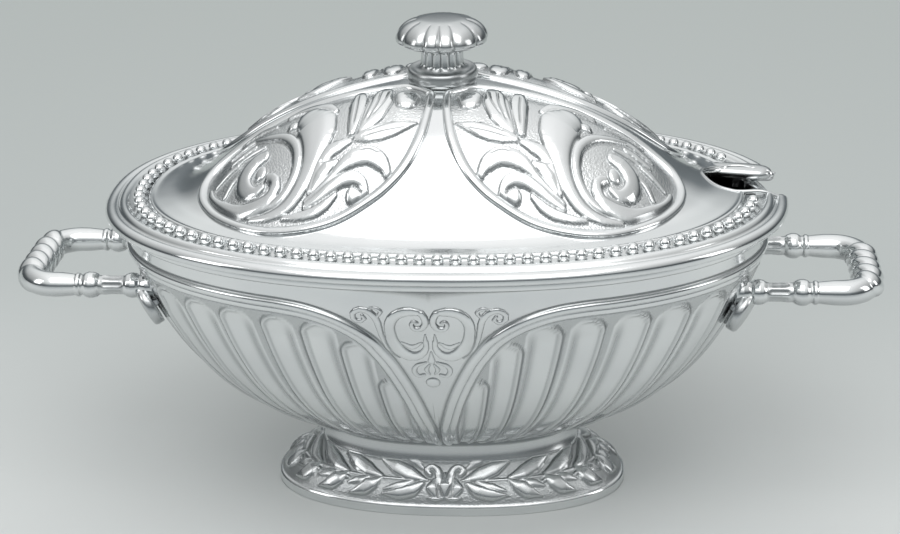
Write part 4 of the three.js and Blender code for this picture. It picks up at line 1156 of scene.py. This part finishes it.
# %% Handles
ARM_Y, HANDLE_HEIGHT, PAD_HEIGHT, PAD_LIFT = 29.5, 112.5, 105.0, 1.5
BAR_START, BAR_X, BEND = 136.5, 199.3, 14.0
REEDS, REED_RISE, REEDS_FROM, REEDS_TO = 8, 0.35, (15, 17), (24, 26)
GADROON, GADROON_RISE, GADROON_SUNK, SLANT, GRIP_END = 9.0, 1.9, 0.4, 4.2, (21, 23)
WAISTS_FROM, WAISTS_TO = 140, 180
PAD = [(0, 0), (10.2, 0), (10.5, 0.4), (10.5, 3.4), (10.2, 4.4), (9.4, 5), (7, 5.4), (0, 5.8)]
ARM = [(0, 6.4), (4, 6.4), (6.4, 5.5), (7.4, 4.9), (9, 5.8), (11.2, 6.1), (13.4, 5.6), (15, 4.6),
       (17, 4.3), (21, 4.3), (25, 4.7), (26.8, 4.6), (28.2, 5.6), (30, 6.2), (31.6, 6.3),
       (33.2, 6), (34.8, 5), (35.6, 4.9), (36.6, 5.7), (37.6, 5.7), (38.6, 5.1), (41, 5.4),
       (46, 5.9), (60, 6.1)]


def handle_track():
    corner = BAR_X - BEND
    turn = np.linspace(0, np.pi / 2, 40)
    bend = np.column_stack([corner + BEND * np.sin(turn), -ARM_Y + BEND - BEND * np.cos(turn)])
    first = np.vstack([[(BAR_START, -ARM_Y)], bend])
    plan = np.vstack([first, first[::-1] * (1, -1)])
    plan = np.column_stack([plan, np.full(len(plan), HANDLE_HEIGHT)])
    lengths = lengths_along(plan)
    even = np.linspace(0, lengths[-1], 520)
    return np.column_stack([np.interp(even, lengths, plan[:, i]) for i in range(3)]), lengths[-1]


track, track_length = handle_track()
print("handle bar", round(track_length), "mm long")


def bar_size(share, angle):
    """Radius of the bar at a share of its length and an angle round it, for both ways."""
    from_end = np.minimum(share, 1 - share) * track_length
    arm = np.interp(from_end, *np.array(ARM).T)
    reeds = REED_RISE * np.cos(REEDS * angle) * between(from_end, REEDS_FROM, REEDS_TO)
    middle = (share - 0.5) * track_length
    slant = middle + SLANT * np.sin(angle + 0.6)
    swell = np.abs(np.cos(slant / GADROON * np.pi)) ** 0.7
    grip = 1 - smooth(np.abs(slant), *GRIP_END)
    size = arm + reeds + grip * (GADROON_RISE * swell - GADROON_SUNK)
    return size, size


# %% Handles: pads and mesh
def handle_mesh():
    bm = bmesh.new()
    bm.from_mesh(swept(track, bar_size, sides=36))
    for across in (-1, 1):
        origin, axis = pad_seat(across)
        turn = Vector((0, 0, 1)).rotation_difference(axis).to_matrix().to_4x4()
        pad = spun(PAD, 64)[0]
        pad.transform(Matrix.Translation((origin + axis * PAD_LIFT) * MM) @ turn @ Matrix.Scale(MM, 4))
        bm.from_mesh(pad)
    return finished(bm, "handle")


def wall_place(y, z):
    """The point on the wall's +X end at a place across and a height."""
    long = np.interp(z, wall_rows[:, 1], wall_rows[:, 0])
    share = 1 - np.abs(y / oval_short(long)) ** OVAL_POWER
    return Vector((float(long * share ** (1 / OVAL_POWER)), y, z))


def pad_seat(across_side):
    """The point on the wall behind a pad at the +X end, and the way the wall faces."""
    y, step = across_side * ARM_Y, 0.3
    origin = wall_place(y, PAD_HEIGHT)
    across, upward = wall_place(y + step, PAD_HEIGHT), wall_place(y, PAD_HEIGHT + step)
    return origin, (across - origin).cross(upward - origin).normalized()


# %% Handles: marks and both pieces
mesh = handle_mesh()
x, y, z = (coordinates(mesh) / MM).T
# Painted shade: the lower side of the bar is darker.
underside_shade = 1 - smooth(z - HANDLE_HEIGHT, -3.5, 0.5)
from_arm = np.hypot(np.abs(y) - ARM_Y, z - HANDLE_HEIGHT)
waists = (1 - smooth(from_arm, 4.2, 5.1)) * (x < WAISTS_TO) * (x > WAISTS_FROM)
hollow = np.maximum(0.45 * underside_shade, 0.6 * waists)
other = mesh.copy()
other.transform(Matrix.Rotation(math.pi, 4, "Z"))
for side, bar in (("right", mesh), ("left", other)):
    piece(f"handle_bar_{side}", bar, "base", "cast_metal", [f"handle_{side}"], hollow=hollow)

# %% [markdown]
# A polished metal shows the room around it, so the light is the other half of the finish.
# The room is a soft tent: white overhead, which the tops of the lid reflect, and darker
# towards the horizon, which the steep sides reflect. One large softbox above gives the
# soft shadow under the dish, and two smaller ones put glints on the sides. The floor is a
# pale card with light painted into its colour: it is lightest just in front of the dish, as
# a painted pool of light, and a little darker behind it as painted shade. It is also painted
# darker far in front, where only the metal's reflections see it.

# %% Floor
FLOOR_REACH = 8


def pale_floor():
    material, tree = new_material("pale_studio_card")
    place = add(tree, "TexCoord").outputs["Object"]
    away = add(tree, "SeparateXYZ", Vector=place).outputs["Y"]
    distance = add(tree, "MapRange", _0=away, _1=-0.7, _2=1.3).outputs[0]
    mottle = add(tree, "TexNoise", Vector=place, Scale=2.0, Detail=2.0).outputs["Fac"]
    uneven = add(tree, "MapRange", _0=mottle, _3=-0.02, _4=0.02).outputs[0]
    both = add(tree, "Math", {"operation": "ADD"}, _0=distance, _1=uneven).outputs[0]
    # Painted light: the card is lightest just in front of the dish, and darker behind it and far in
    # front.
    tone = ramp(tree, both, (0.04, "#adb2b3"), (0.17, "#bdc1c2"), (0.25, "#cfd2d2"),
                (0.33, "#d3d6d5"), (0.48, "#bdc2c1"), (0.85, "#c0c6c4"))
    surface(tree, Base_Color=tone, Roughness=0.8)
    return material


bm = bmesh.new()
bmesh.ops.create_grid(bm, x_segments=1, y_segments=1, size=FLOOR_REACH)
floor = in_scene("floor", finished(bm, "floor"))
floor.data.materials.append(pale_floor())
print("floor:", floor.data.materials[0].name)


# %% Lamps and world
def softbox(name, place, aim, size, watts):
    lamp = bpy.data.lights.new(name, "AREA")
    lamp.shape, lamp.size, lamp.size_y, lamp.energy = "RECTANGLE", size[0], size[1], watts
    box = in_scene(name, lamp)
    box.location = place
    box.rotation_euler = (Vector(aim) - Vector(place)).to_track_quat("-Z", "Y").to_euler()
    print(name, watts, "W")


softbox("softbox_overhead", (0.0, -0.65, 1.2), (0, 0, 0.1), (1.2, 1.0), 6)
softbox("softbox_left", (-1.3, -0.7, 0.8), (0, 0, 0.1), (0.5, 0.8), 2.5)
softbox("softbox_right", (1.4, -0.3, 0.7), (0, 0, 0.1), (0.4, 0.8), 2)

world = bpy.data.worlds.new("studio_tent")
world.use_nodes = True
tree = world.node_tree
tree.nodes.clear()
direction = add(tree, "SeparateXYZ", Vector=add(tree, "TexCoord").outputs["Generated"])
lift = add(tree, "MapRange", _0=direction.outputs["Z"], _1=-0.2, _2=1.0).outputs[0]
tent = ramp(tree, lift, (0.0, "#8f9494"), (0.17, "#5c6265"), (0.36, "#747a7d"), (0.55, "#dcdfdf"),
            (1.0, "#ffffff"))
aside = add(tree, "Math", {"operation": "ABSOLUTE"}, _0=direction.outputs["X"]).outputs[0]
dim = add(tree, "MapRange", _0=aside, _1=0.35, _2=0.85, _3=1.0, _4=0.5).outputs[0]
level = add(tree, "Math", {"operation": "MULTIPLY"}, _0=dim, _1=1.1).outputs[0]
background = add(tree, "Background", Color=tent, Strength=level)
add(tree, "OutputWorld", Surface=background.outputs[0])
bpy.context.scene.world = world
bpy.context.scene.view_settings.view_transform = "Standard"

# %% The end
bpy.context.view_layer.update()
